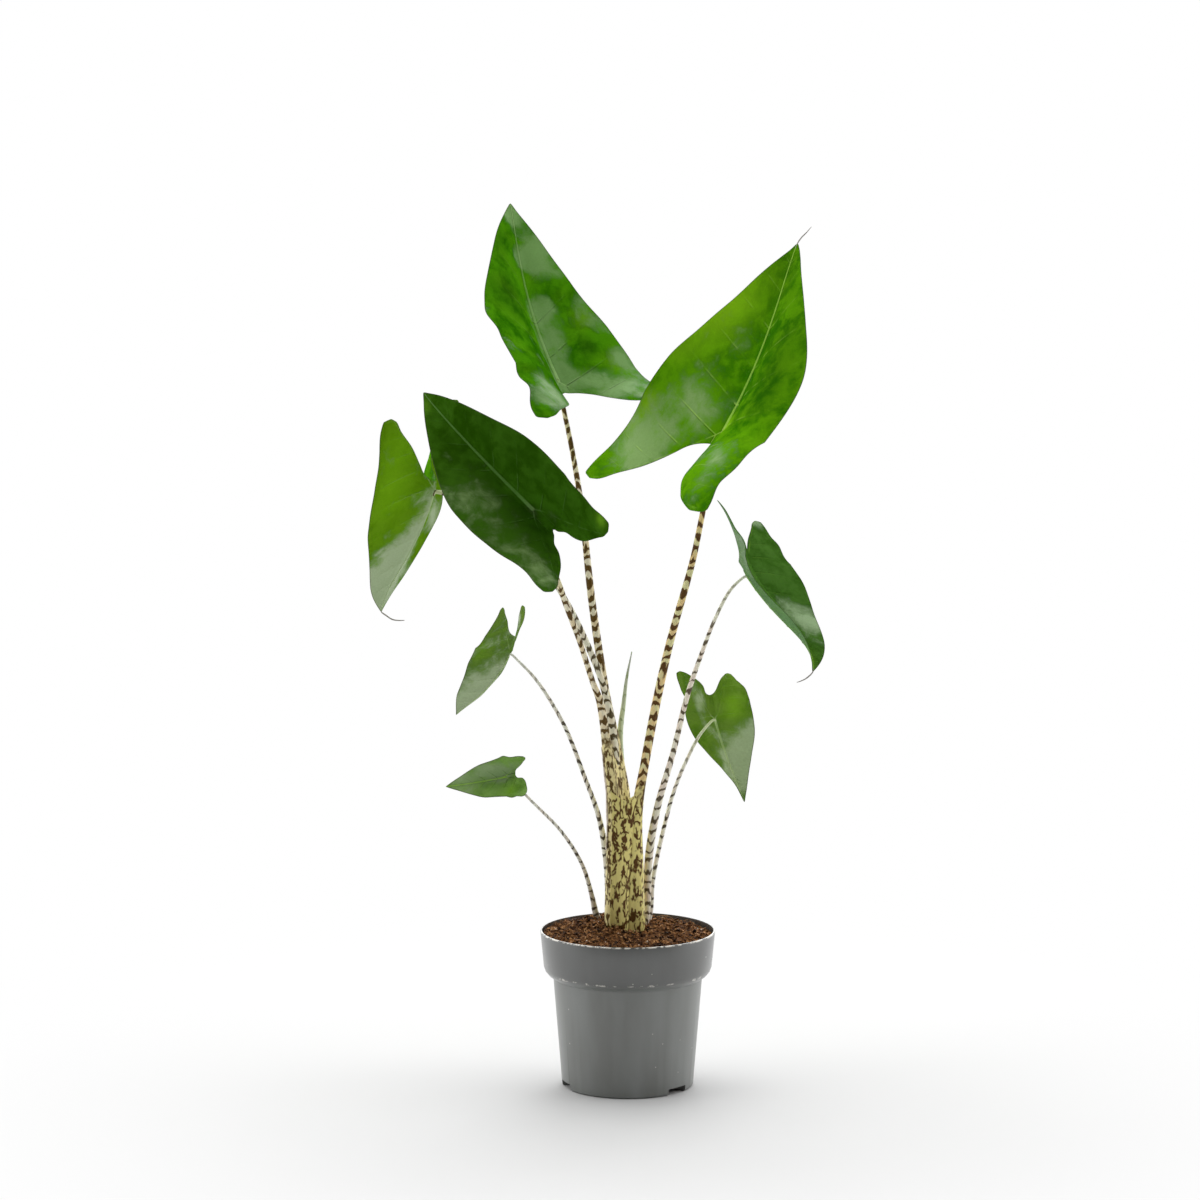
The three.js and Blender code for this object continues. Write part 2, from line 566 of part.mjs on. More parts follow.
// The new leaf and the stalks, each cut to wrap those inside it, and to end under its blade
const fatCorm = toSolid(cormGeometry(GAP));
let inside = toSolid(stalkGeometry(NEW_LEAF, NEW_LEAF_SIDES, GAP));
let soil = toSolid(soilGeometry()).subtract(fatCorm).subtract(inside);
const newLeaf = toSolid(stalkGeometry(NEW_LEAF, NEW_LEAF_SIDES)).subtract(fatCorm);
add("new_leaf", toGeometry(newLeaf), MATERIALS.newLeaf);
for (const [name, points] of Object.entries(STALKS)) {
  const sides = STALK_SIDES[name];
  const whole = toSolid(stalkGeometry(points, sides));
  const fat = toSolid(stalkGeometry(points, sides, GAP));
  const blade = toSolid(bladeGeometry(LEAVES[name], GAP));
  const stalk = whole.subtract(inside).subtract(blade).subtract(fatCorm);
  add(`stalk_${name}`, toGeometry(stalk), MATERIALS.stalk);
  inside = inside.add(fat);
  soil = soil.subtract(fat);
}
add("soil", toGeometry(soil), MATERIALS.soil);

export default plant;
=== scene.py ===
"""A potted zebrina alocasia: arrow-shaped leaves on banded stalks, in bark soil in a nursery pot.

Sizes are in millimetres, except those of the floor and the lamps, which are in metres like every
mesh. +Z is up. The origin is the middle of the pot's foot, on the floor. From the front one looks
along +Y.
"""

import logging
import math
import random
from collections.abc import Callable
from dataclasses import dataclass, field
from enum import Enum
from typing import Any

import bpy
import numpy as np
from mathutils import Matrix, Vector, noise


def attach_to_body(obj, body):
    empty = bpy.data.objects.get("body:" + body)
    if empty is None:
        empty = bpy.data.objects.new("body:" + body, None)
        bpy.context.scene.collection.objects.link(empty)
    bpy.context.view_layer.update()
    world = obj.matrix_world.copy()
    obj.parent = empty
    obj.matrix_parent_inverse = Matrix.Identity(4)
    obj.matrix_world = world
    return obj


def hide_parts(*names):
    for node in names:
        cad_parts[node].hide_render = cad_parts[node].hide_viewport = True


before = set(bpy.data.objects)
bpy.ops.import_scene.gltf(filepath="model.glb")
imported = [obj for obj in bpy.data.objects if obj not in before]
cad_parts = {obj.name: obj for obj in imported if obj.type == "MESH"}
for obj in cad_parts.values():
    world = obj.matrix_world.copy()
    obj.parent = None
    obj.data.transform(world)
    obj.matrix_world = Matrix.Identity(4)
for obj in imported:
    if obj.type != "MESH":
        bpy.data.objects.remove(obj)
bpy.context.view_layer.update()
log = logging.getLogger("alocasia")

MM = 0.001
# Between the side veins of a leaf whose midrib is 200 long
VEIN_SPACING = 36.0
# Usual distance between the vertices of a blade, which a midrib longer than LARGE_BLADE makes wider
LARGE_BLADE = 130.0
LARGE_PITCH = 1.6
SMALL_PITCH = 1.1
Array = np.ndarray
Curve = Callable[[Array], Array]
Piece = bpy.types.Object
Place = tuple[float, float, float]
# Rows of four: a place and a radius, or what a patch on a leaf says
Points = tuple[tuple[float, float, float, float], ...]


class Slot(Enum):
    """Names of the record's material slots, one for each kind of new piece."""

    POT = "pot"
    SOIL = "soil"
    STALK = "stalk"
    BLADE = "blade"
    NEW_LEAF = "new_leaf"


# Modelling steps that every piece shares


def only(piece: Piece) -> None:
    """Select one object alone and make it active.

    Args:
        piece: The object to work on.
    """
    bpy.ops.object.select_all(action="DESELECT")
    piece.select_set(True)
    bpy.context.view_layer.objects.active = piece


def flat_sheet(name: str, columns: int, rows: int) -> Piece:
    """Add a flat grid, one unit square, with its middle at the origin.

    Args:
        name: Name of the new piece.
        columns: Faces along X.
        rows: Faces along Y.

    Returns:
        The new grid.
    """
    bpy.ops.object.select_all(action="DESELECT")
    bpy.ops.mesh.primitive_grid_add(x_subdivisions=columns, y_subdivisions=rows, size=1)
    sheet = bpy.context.active_object
    sheet.name = sheet.data.name = name
    return sheet


def places(piece: Piece) -> Array:
    """Read the vertices of a piece as an array of N rows."""
    flat = np.empty(len(piece.data.vertices) * 3)
    piece.data.vertices.foreach_get("co", flat)
    return flat.reshape(-1, 3)


def put(piece: Piece, points: Array) -> None:
    """Move the vertices of a piece to new places."""
    piece.data.vertices.foreach_set("co", np.ascontiguousarray(points, dtype=float).ravel())
    piece.data.update()


def note(piece: Piece, name: str, values: Array) -> None:
    """Keep a vector for each vertex, for the materials to read.

    Args:
        piece: The piece that gets the attribute.
        name: Name of the attribute.
        values: N rows of three numbers.
    """
    layer = piece.data.attributes.new(name, "FLOAT_VECTOR", "POINT")
    layer.data.foreach_set("vector", np.ascontiguousarray(values, dtype=np.float32).ravel())


def weld(piece: Piece, distance: float = 1e-6, outward: bool = True) -> None:
    """Merge the vertices that touch, which closes seams and poles.

    Args:
        piece: The piece to close.
        distance: How near two vertices are merged, in metres.
        outward: Whether the normals are turned outwards after that.
    """
    only(piece)
    bpy.ops.object.mode_set(mode="EDIT")
    bpy.ops.mesh.select_all(action="SELECT")
    bpy.ops.mesh.remove_doubles(threshold=distance)
    if outward:
        bpy.ops.mesh.normals_make_consistent(inside=False)
    bpy.ops.object.mode_set(mode="OBJECT")


def fix(piece: Piece, kind: str, **settings: Any) -> None:
    """Add a modifier to a piece and apply it.

    Args:
        piece: The piece to change.
        kind: Blender's name for the kind of modifier.
        settings: The modifier's settings.
    """
    modifier = piece.modifiers.new(kind.title(), kind)
    for key, value in settings.items():
        setattr(modifier, key, value)
    only(piece)
    bpy.ops.object.modifier_apply(modifier=modifier.name)


def join(pieces: list[Piece]) -> Piece:
    """Join several pieces into the first of them."""
    only(pieces[0])
    for piece in pieces[1:]:
        piece.select_set(True)
    if len(pieces) > 1:
        bpy.ops.object.join()
    return pieces[0]


def smooth(piece: Piece, angle: float) -> None:
    """Shade a piece smooth, except at edges sharper than an angle in degrees."""
    only(piece)
    bpy.ops.object.shade_smooth_by_angle(angle=math.radians(angle))


def settle(piece: Piece, slot: Slot, *nodes: str) -> None:
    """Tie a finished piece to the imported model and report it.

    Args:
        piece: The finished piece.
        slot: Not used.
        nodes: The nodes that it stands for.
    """
    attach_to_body(piece, "root")
    if nodes:
        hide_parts(*nodes)
    log.info("%s: %d faces, stands for %s", piece.name, len(piece.data.polygons), nodes or "nothing")


def smooth_step(value: Array, low: float, high: float) -> Array:
    """Rise smoothly from 0 at low to 1 at high."""
    share = np.clip((value - low) / (high - low), 0.0, 1.0)
    return share * share * (3.0 - 2.0 * share)


def through(stations: list[tuple[float, float]]) -> Curve:
    """Fit a smooth curve through stations, which never overshoots them.

    Args:
        stations: Rising places with the value at each.

    Returns:
        The value at any array of places.
    """
    where = np.array([station[0] for station in stations], dtype=float)
    value = np.array([station[1] for station in stations], dtype=float)
    step = np.diff(where)
    slope = np.diff(value) / step
    before = 2.0 * step[1:] + step[:-1]
    after = step[1:] + 2.0 * step[:-1]
    turns = slope[:-1] * slope[1:] <= 0.0
    safe = np.where(turns, 1.0, slope[:-1]), np.where(turns, 1.0, slope[1:])
    inner = np.where(turns, 0.0, (before + after) / (before / safe[0] + after / safe[1]))
    tangent = np.concatenate([[slope[0]], inner, [slope[-1]]])

    def at(place: Array) -> Array:
        """Give the value at an array of places."""
        clipped = np.clip(place, where[0], where[-1])
        i = np.clip(np.searchsorted(where, clipped, side="left") - 1, 0, len(step) - 1)
        t = (clipped - where[i]) / step[i]
        start = (2 * t**3 - 3 * t**2 + 1) * value[i] + (t**3 - 2 * t**2 + t) * step[i] * tangent[i]
        end = (3 * t**2 - 2 * t**3) * value[i + 1] + (t**3 - t**2) * step[i] * tangent[i + 1]
        return start + end

    return at


def turns(roll: Array, pitch: Array, yaw: Array) -> Array:
    """Build turns about X, then Y, then Z.

    Args:
        roll: Degrees about X.
        pitch: Degrees about Y.
        yaw: Degrees about Z.

    Returns:
        A 3 by 3 matrix for each set of angles.
    """
    x, y, z = np.radians(roll), np.radians(pitch), np.radians(yaw)
    cx, sx, cy, sy, cz, sz = np.cos(x), np.sin(x), np.cos(y), np.sin(y), np.cos(z), np.sin(z)
    rows = [
        [cz * cy, cz * sy * sx - sz * cx, cz * sy * cx + sz * sx],
        [sz * cy, sz * sy * sx + cz * cx, sz * sy * cx - cz * sx],
        [-sy, cy * sx, cy * cx],
    ]
    return np.moveaxis(np.array(rows), (0, 1), (-2, -1))


# Materials


def colour(code: str) -> tuple[float, float, float, float]:
    """Turn an sRGB hex code into a linear colour.

    Args:
        code: Six hex digits.

    Returns:
        Linear red, green, blue and a full alpha.
    """
    parts = [int(code[i : i + 2], 16) / 255.0 for i in (0, 2, 4)]
    linear = [p / 12.92 if p <= 0.04045 else ((p + 0.055) / 1.055) ** 2.4 for p in parts]
    return (linear[0], linear[1], linear[2], 1.0)


@dataclass
class Recipe:
    """A material that is put together node by node."""

    name: str
    material: bpy.types.Material = field(init=False)

    def __post_init__(self) -> None:
        """Start an empty material with its output."""
        self.material = bpy.data.materials.new(self.name)
        self.material.use_nodes = True
        self.material.node_tree.nodes.clear()

    def add(self, kind: str, inputs: dict | None = None, output: int | str = 0, **settings: Any) -> Any:
        """Add a node with its settings and links.

        Args:
            kind: Blender's name for the node, without "ShaderNode".
            inputs: What goes into each input: a socket or a value.
            output: The output to hand back.
            settings: The node's settings. "stops" are the colour stops of a ramp.

        Returns:
            The output socket, or the node where it has none.
        """
        tree = self.material.node_tree
        node = tree.nodes.new("ShaderNode" + kind)
        for position, shade in settings.pop("stops", ()):
            ramp = node.color_ramp.elements
            fresh = position > 0.0 or len(ramp) == 1
            element = ramp.new(position) if fresh else ramp[0]
            element.color = shade
        for key, value in settings.items():
            setattr(node, key, value)
        for key, value in (inputs or {}).items():
            if isinstance(value, bpy.types.NodeSocket):
                tree.links.new(value, node.inputs[key])
            else:
                node.inputs[key].default_value = value
        return node.outputs[output] if len(node.outputs) else node


@dataclass(frozen=True)
class LeafSkin:
    """Living leaf skin: a waxed cuticle over green tissue that lets some light through.

    The tissue gives the saturated green. A painted sheen greys it in soft patches, a painted shade darkens
    it in others and a painted glow yellows it in others. The veins are fine pale lines with a painted shade
    in the creases beside them and a painted highlight round the side veins.
    """

    name: str
    deep: str
    fresh: str
    # Colour of the painted sheen
    bloom: str = "8fa884"
    vein: str = "9ccc50"
    glow: str = "84c008"
    # Colour of the painted shade
    shadow: str = "16280a"
    through: float = 0.3
    roughness: float = 0.45
    # Raises the painted sheen all over the skin
    dusty: float = 0.0
    vein_strength: float = 0.9
    # Strength of the painted shade in the creases beside the side veins and beside the midrib
    crease_shade: float = 0.7
    rib_strength: float = 0.85
    raised: float = 1.0
    # Colour of the painted glow, and of the painted highlight round the side veins
    flush: str = "8cc01c"
    # Strength of the painted highlight round the side veins
    cushion: float = 0.08

    def make(self, size: float) -> bpy.types.Material:
        """Build the material.

        Args:
            size: Size of the leaf, 1 for a midrib of 200 millimetres.

        Returns:
            The material.
        """
        r = Recipe(self.name)
        notes = []
        # The third attribute holds the leaf's patches. Its first number paints sheen above 0 and shade below
        # 0, and its second paints a glow
        for name in ("veins", "ribs", "bloom"):
            vector = r.add("Attribute", {}, "Vector", attribute_name=name)
            notes.append(tuple(r.add("SeparateXYZ", {0: vector}).node.outputs))
        (phase, reach, costa), (middle, edge, station), (dust, flush, _) = notes
        skin = r.add("TexCoord", {}, "Object")

        # Side veins show near the midrib and are lost before the margin
        side_vein, side_crease, cushion = self.vein_lines(r, phase, 1.0, 0.48, size)
        fine_vein, _, _ = self.vein_lines(r, phase, 4.0, 0.18, size)
        off_edge = r.add("MapRange", {0: edge, 1: 1.5, 2: 14.0 * size}, interpolation_type="SMOOTHSTEP")
        far = r.add("MapRange", {0: reach, 1: 12.0 * size, 2: 62.0 * size, 3: 1.0, 4: 0.06})
        fade = r.add("Math", {0: off_edge, 1: far}, operation="MULTIPLY")
        away = r.add("Math", {0: station}, operation="ABSOLUTE")
        near = r.add("MapRange", {0: away, 1: 0.1, 2: 0.7, 3: 1.0, 4: 0.25})
        fade = r.add("Math", {0: fade, 1: near}, operation="MULTIPLY")
        patchy = r.add("TexNoise", {"Vector": skin, "Scale": 70.0, "Detail": 1.0})
        patchy = r.add("MapRange", {0: patchy, 1: 0.42, 2: 0.56, 3: 0.05, 4: 1.0})
        fade = r.add("Math", {0: fade, 1: patchy}, operation="MULTIPLY")
        side_vein = r.add("Math", {0: side_vein, 1: fade}, operation="MULTIPLY")
        side_crease = r.add("Math", {0: side_crease, 1: fade}, operation="MULTIPLY")
        cushion = r.add("Math", {0: cushion, 1: off_edge}, operation="MULTIPLY")
        fine_vein = r.add("Math", {0: fine_vein, 1: fade}, operation="MULTIPLY")

        # The midrib tapers to the tip, and the ribs of the lobes to their ends
        taper = r.add("MapRange", {0: station, 1: 0.0, 2: 1.0, 3: 0.5 + 1.5 * size, 4: 0.6})
        midrib = r.add("Math", {0: middle, 1: taper}, operation="DIVIDE")
        midrib = r.add("MapRange", {0: midrib, 1: 0.65, 2: 1.2, 3: 1.0, 4: 0.0},
                       interpolation_type="SMOOTHSTEP")
        lobe_taper = r.add("MapRange", {0: station, 1: -0.9, 2: 0.0, 3: 0.3, 4: 1.0})
        lobe_rib = r.add("Math", {0: costa}, operation="ABSOLUTE")
        lobe_rib = r.add("Math", {0: lobe_rib, 1: lobe_taper}, operation="DIVIDE")
        lobe_rib = r.add("MapRange", {0: lobe_rib, 1: 0.35, 2: 0.9, 3: 0.6, 4: 0.0},
                         interpolation_type="SMOOTHSTEP")
        lobe_rib = r.add("Math", {0: lobe_rib, 1: patchy}, operation="MULTIPLY")
        rib = r.add("Math", {0: midrib, 1: lobe_rib}, operation="MAXIMUM")
        beside = r.add("Math", {0: middle, 1: taper}, operation="DIVIDE")
        beside = r.add("MapRange", {0: beside, 1: 1.2, 2: 2.6, 3: 1.0, 4: 0.0},
                       interpolation_type="SMOOTHSTEP")

        # Patches as broad as a hand, blotches as broad as a thumb, and a grain of two millimetres
        broad = r.add("TexNoise", {"Vector": skin, "Scale": 13.0, "Detail": 2.0, "Roughness": 0.5})
        blotch = r.add("TexNoise", {"Vector": skin, "Scale": 55.0, "Detail": 5.0, "Roughness": 0.65,
                                    "Distortion": 0.3})
        patches = r.add("Math", {0: broad, 1: 0.35}, operation="MULTIPLY")
        patches = r.add("Math", {0: blotch, 1: 0.65, 2: patches}, operation="MULTIPLY_ADD")
        fresher = r.add("MapRange", {0: patches, 1: 0.4, 2: 0.6}, interpolation_type="SMOOTHSTEP")
        tissue = r.add("Mix", {0: fresher, 6: colour(self.deep), 7: colour(self.fresh)}, 2,
                       data_type="RGBA")
        # Painted highlight round each side vein, and painted glow where the leaf's flush patches lie, both
        # in the flush colour
        lift = r.add("Math", {0: cushion, 1: self.cushion, 2: flush}, operation="MULTIPLY_ADD")
        lift = r.add("MapRange", {0: lift, 1: 0.0, 2: 1.0})
        tissue = r.add("Mix", {0: lift, 6: tissue, 7: colour(self.flush)}, 2, data_type="RGBA")
        # Painted shade: patches below 0 darken the green toward the shadow colour
        shaded = r.add("MapRange", {0: dust, 1: -1.0, 2: 0.0, 3: 1.0, 4: 0.0})
        tissue = r.add("Mix", {0: shaded, 6: tissue, 7: colour(self.shadow)}, 2, data_type="RGBA")
        # Painted sheen: a grey-green sheen is laid on at random where the noise patches are low, all over by
        # a set amount, and where the leaf's patches are above 0
        grey = r.add("Math", {0: patches, 1: -2.2, 2: 1.1 + self.dusty}, operation="MULTIPLY_ADD")
        grey = r.add("Math", {0: dust, 1: grey}, operation="ADD")
        grey = r.add("MapRange", {0: grey, 1: 0.2, 2: 0.8}, interpolation_type="SMOOTHSTEP")
        tissue = r.add("Mix", {0: grey, 6: tissue, 7: colour(self.bloom)}, 2, data_type="RGBA")
        grain = r.add("TexNoise", {"Vector": skin, "Scale": 520.0, "Detail": 2.0})
        grain = r.add("MapRange", {0: grain, 1: 0.3, 2: 0.7, 3: 0.94, 4: 1.06})
        tissue = r.add("Mix", {0: 1.0, 6: tissue, 7: grain}, 2, data_type="RGBA", blend_type="MULTIPLY")

        # Veins, painted shade in the creases beside the side veins and along both sides of the midrib, and
        # the margin, which is drawn in a thin grey line
        pale = r.add("Mix", {0: 0.7, 6: tissue, 7: colour(self.vein)}, 2, data_type="RGBA")
        dark = r.add("Mix", {0: 1.0, 6: tissue, 7: (0.3, 0.3, 0.3, 1.0)}, 2, data_type="RGBA",
                     blend_type="MULTIPLY")
        for mask, strength, shade in (
            (fine_vein, 0.14 * self.vein_strength, pale), (side_crease, self.crease_shade, dark),
            (beside, 0.45 * self.crease_shade, dark), (side_vein, self.vein_strength, pale),
            (rib, self.rib_strength, pale),
        ):
            weight = r.add("Math", {0: mask, 1: strength}, operation="MULTIPLY")
            tissue = r.add("Mix", {0: weight, 6: tissue, 7: shade}, 2, data_type="RGBA")
        joint = r.add("MapRange", {0: away, 1: 0.0, 2: 0.16, 3: 0.9, 4: 0.0},
                      interpolation_type="SMOOTHSTEP")
        joint = r.add("Math", {0: joint, 1: rib}, operation="MULTIPLY")
        tissue = r.add("Mix", {0: joint, 6: tissue, 7: colour(self.vein)}, 2, data_type="RGBA")
        hem = r.add("MapRange", {0: edge, 1: 0.45, 2: 1.1, 3: 0.75, 4: 0.0})
        tissue = r.add("Mix", {0: hem, 6: tissue, 7: colour("4b4a3d")}, 2, data_type="RGBA")

        # The net of smallest veins has meshes of about two millimetres
        net = r.add("TexVoronoi", {"Vector": skin, "Scale": 420.0}, 0, feature="DISTANCE_TO_EDGE")
        net = r.add("MapRange", {0: net, 1: 0.0, 2: 0.12, 3: 1.0, 4: 0.0})
        height = r.add("Math", {0: net, 1: 0.02}, operation="MULTIPLY")
        for mask, depth in ((fine_vein, 0.06), (side_vein, 0.2), (side_crease, -0.15), (rib, 0.25)):
            height = r.add("Math", {0: mask, 1: depth, 2: height}, operation="MULTIPLY_ADD")
        bump = r.add("Bump", {"Strength": 1.0, "Distance": self.raised * MM, "Height": height})

        gloss = r.add("MapRange", {0: patches, 1: 0.4, 2: 0.6, 3: self.roughness + 0.05,
                                   4: self.roughness - 0.03})
        sheen = r.add("MapRange", {0: grey, 3: 0.0, 4: 0.3})
        wax = r.add("BsdfPrincipled", {
            "Base Color": tissue, "Roughness": gloss, "IOR": 1.45, "Specular IOR Level": sheen,
            "Specular Tint": (0.7, 1.0, 0.45, 1.0), "Normal": bump,
        })
        glow = r.add("Mix", {0: 0.7, 6: tissue, 7: colour(self.glow)}, 2, data_type="RGBA")
        light = r.add("BsdfTranslucent", {"Color": glow, "Normal": bump})
        clear = r.add("MapRange", {0: grey, 3: self.through, 4: 0.45 * self.through})
        both = r.add("MixShader", {0: clear, 1: wax, 2: light})
        r.add("OutputMaterial", {"Surface": both})
        return r.material

    def vein_lines(self, r: Recipe, phase: Any, share: float, width: float, size: float) -> tuple[Any, ...]:
        """Draw a vein at each whole number of the phase.

        Args:
            r: The material.
            phase: Socket with the number of the vein that a point lies on.
            share: How many veins there are to each whole number.
            width: Half the width of a vein in millimetres.
            size: Size of the leaf.

        Returns:
            Sockets for the veins, for the creases beside them, where a painted shade goes, and for the
            painted highlight round them.
        """
        spacing = VEIN_SPACING * size / share
        thin = width * (0.4 + 0.6 * size)
        number = r.add("Math", {0: phase, 1: share, 2: 0.5}, operation="MULTIPLY_ADD")
        number = r.add("Math", {0: number}, operation="FRACT")
        off = r.add("Math", {0: number, 1: spacing, 2: -0.5 * spacing}, operation="MULTIPLY_ADD")
        masks = []
        for shift in (0.0, 2.3 * thin):
            away = r.add("Math", {0: off, 1: shift}, operation="ADD")
            away = r.add("Math", {0: away}, operation="ABSOLUTE")
            masks.append(r.add("MapRange", {0: away, 1: thin, 2: thin * 2.2, 3: 1.0, 4: 0.0},
                               interpolation_type="SMOOTHSTEP"))
        near = r.add("Math", {0: off, 1: -0.06 * spacing}, operation="ADD")
        near = r.add("Math", {0: near}, operation="ABSOLUTE")
        masks.append(r.add("MapRange", {0: near, 1: 0.0, 2: 0.34 * spacing, 3: 1.0, 4: 0.0},
                           interpolation_type="SMOOTHSTEP"))
        return tuple(masks)


@dataclass(frozen=True)
class PetioleSkin:
    """Living petiole skin: smooth and waxy, cream to olive, with ragged brown zebra marks.

    The marks are broken bars across the stalk, and near its foot a torn net of wriggling lines with
    blots on it.
    """

    name: str
    ground: str = "e6dec2"
    blush: str = "dccba4"
    base: str = "e8da9e"
    band: str = "594216"
    top: str = "d3d8a8"
    period: float = 11.5
    thick: float = 5.6
    broken: float = 1.2
    net_ends: float = 200.0
    length: float = 480.0
    plain_top: float = 0.0

    def make(self) -> bpy.types.Material:
        """Build the material."""
        r = Recipe(self.name)
        skin = r.add("Attribute", {}, "Vector", attribute_name="skin")
        along = r.add("SeparateXYZ", {0: skin}, 2)

        # Bars: their spacing drifts, their height swells and shrinks round the stalk
        drift = r.add("TexNoise", {"Vector": self.stretched(r, skin, 8.0, 22.0), "Scale": 1.0,
                                   "Detail": 1.0})
        order = r.add("Math", {0: along, 1: 1 / self.period}, operation="MULTIPLY")
        order = r.add("Math", {0: drift, 1: 2.2, 2: order}, operation="MULTIPLY_ADD")
        order = r.add("Math", {0: order}, operation="FRACT")
        off = r.add("Math", {0: order, 1: 0.5}, operation="SUBTRACT")
        off = r.add("Math", {0: off}, operation="ABSOLUTE")
        off = r.add("Math", {0: off, 1: self.period}, operation="MULTIPLY")
        swell = r.add("TexNoise", {"Vector": self.stretched(r, skin, 4.2, 0.8 * self.period),
                                   "Scale": 1.0, "Detail": 1.0})
        half = r.add("Math", {0: swell, 1: 6.5 * self.broken, 2: self.thick / 2 - 3.25 * self.broken},
                     operation="MULTIPLY_ADD")
        tear = r.add("TexNoise", {"Vector": self.stretched(r, skin, 1.3, 1.5), "Scale": 1.0,
                                  "Detail": 2.0})
        half = r.add("Math", {0: tear, 1: 2.4, 2: half}, operation="MULTIPLY_ADD")
        over = r.add("Math", {0: half, 1: off}, operation="SUBTRACT")
        bars = r.add("MapRange", {0: over, 1: 0.5, 2: 1.9}, interpolation_type="SMOOTHSTEP")

        # The net near the foot: lines where a noise is near its middle value, torn open by the
        # noise that swells the bars, with blots from a third noise
        crook = r.add("TexNoise", {"Vector": self.stretched(r, skin, 6.5, 10.0), "Scale": 1.0,
                                   "Detail": 1.0, "Roughness": 0.4, "Distortion": 0.3})
        crook = r.add("Math", {0: crook, 1: 0.5}, operation="SUBTRACT")
        crook = r.add("Math", {0: crook}, operation="ABSOLUTE")
        gaps = r.add("Math", {0: tear, 1: 0.08, 2: -0.04}, operation="MULTIPLY_ADD")
        crook = r.add("Math", {0: crook, 1: gaps}, operation="ADD")
        net = r.add("MapRange", {0: crook, 1: 0.04, 2: 0.105, 3: 1.0, 4: 0.0},
                    interpolation_type="SMOOTHSTEP")
        blot = r.add("TexNoise", {"Vector": self.stretched(r, skin, 4.2, 9.0), "Scale": 1.0,
                                  "Detail": 1.0, "Distortion": 0.4})
        blot = r.add("MapRange", {0: blot, 1: 0.56, 2: 0.64}, interpolation_type="SMOOTHSTEP")
        torn = r.add("MapRange", {0: swell, 1: 0.41, 2: 0.51}, interpolation_type="SMOOTHSTEP")
        net = r.add("Math", {0: net, 1: torn}, operation="MULTIPLY")
        net = r.add("Math", {0: net, 1: blot}, operation="MAXIMUM")
        ends = r.add("Math", {0: drift, 1: 60.0, 2: along}, operation="MULTIPLY_ADD")
        low = r.add("MapRange", {0: ends, 1: self.net_ends, 2: self.net_ends + 30.0, 3: 1.0, 4: 0.0},
                    interpolation_type="SMOOTHSTEP")
        marks = r.add("Mix", {0: low, 2: bars, 3: net}, 0, data_type="FLOAT")
        bare = r.add("MapRange", {0: along, 1: self.length * (1 - self.plain_top), 2: self.length + 1,
                                  3: 1.0, 4: 1.0 if self.plain_top == 0 else 0.0})
        marks = r.add("Math", {0: marks, 1: bare}, operation="MULTIPLY")

        flush = r.add("TexNoise", {"Vector": self.stretched(r, skin, 6.0, 11.0), "Scale": 1.0})
        flush = r.add("MapRange", {0: flush, 1: 0.42, 2: 0.6})
        ground = r.add("Mix", {0: flush, 6: colour(self.ground), 7: colour(self.blush)}, 2,
                       data_type="RGBA")
        ground = r.add("Mix", {0: low, 6: ground, 7: colour(self.base)}, 2, data_type="RGBA")
        green = r.add("MapRange", {0: along, 1: self.length * 0.8, 2: self.length})
        ground = r.add("Mix", {0: green, 6: ground, 7: colour(self.top)}, 2, data_type="RGBA")
        fibre = r.add("TexNoise", {"Vector": self.stretched(r, skin, 0.45, 20.0), "Scale": 1.0,
                                   "Detail": 2.0})
        thread = r.add("MapRange", {0: fibre, 1: 0.3, 2: 0.7, 3: 0.9, 4: 1.08})
        ground = r.add("Mix", {0: 1.0, 6: ground, 7: thread}, 2, data_type="RGBA", blend_type="MULTIPLY")
        tone = r.add("MapRange", {0: tear, 1: 0.35, 2: 0.65, 3: 0.75, 4: 1.25})
        band = r.add("Mix", {0: 1.0, 6: colour(self.band), 7: tone}, 2, data_type="RGBA",
                     blend_type="MULTIPLY")
        skin_colour = r.add("Mix", {0: marks, 6: ground, 7: band}, 2, data_type="RGBA")
        bump = r.add("Bump", {"Strength": 0.5, "Distance": 0.2 * MM, "Height": fibre})
        wax = r.add("BsdfPrincipled", {
            "Base Color": skin_colour, "Roughness": 0.42, "IOR": 1.45, "Specular IOR Level": 0.2,
            "Normal": bump,
        })
        r.add("OutputMaterial", {"Surface": wax})
        return r.material

    def stretched(self, r: Recipe, skin: Any, across: float, along: float) -> Any:
        """Scale the place on the skin for a pattern of a size across and a size along, in mm."""
        return r.add("Mapping", {0: skin, 3: (1 / across, 1 / across, 1 / along)})


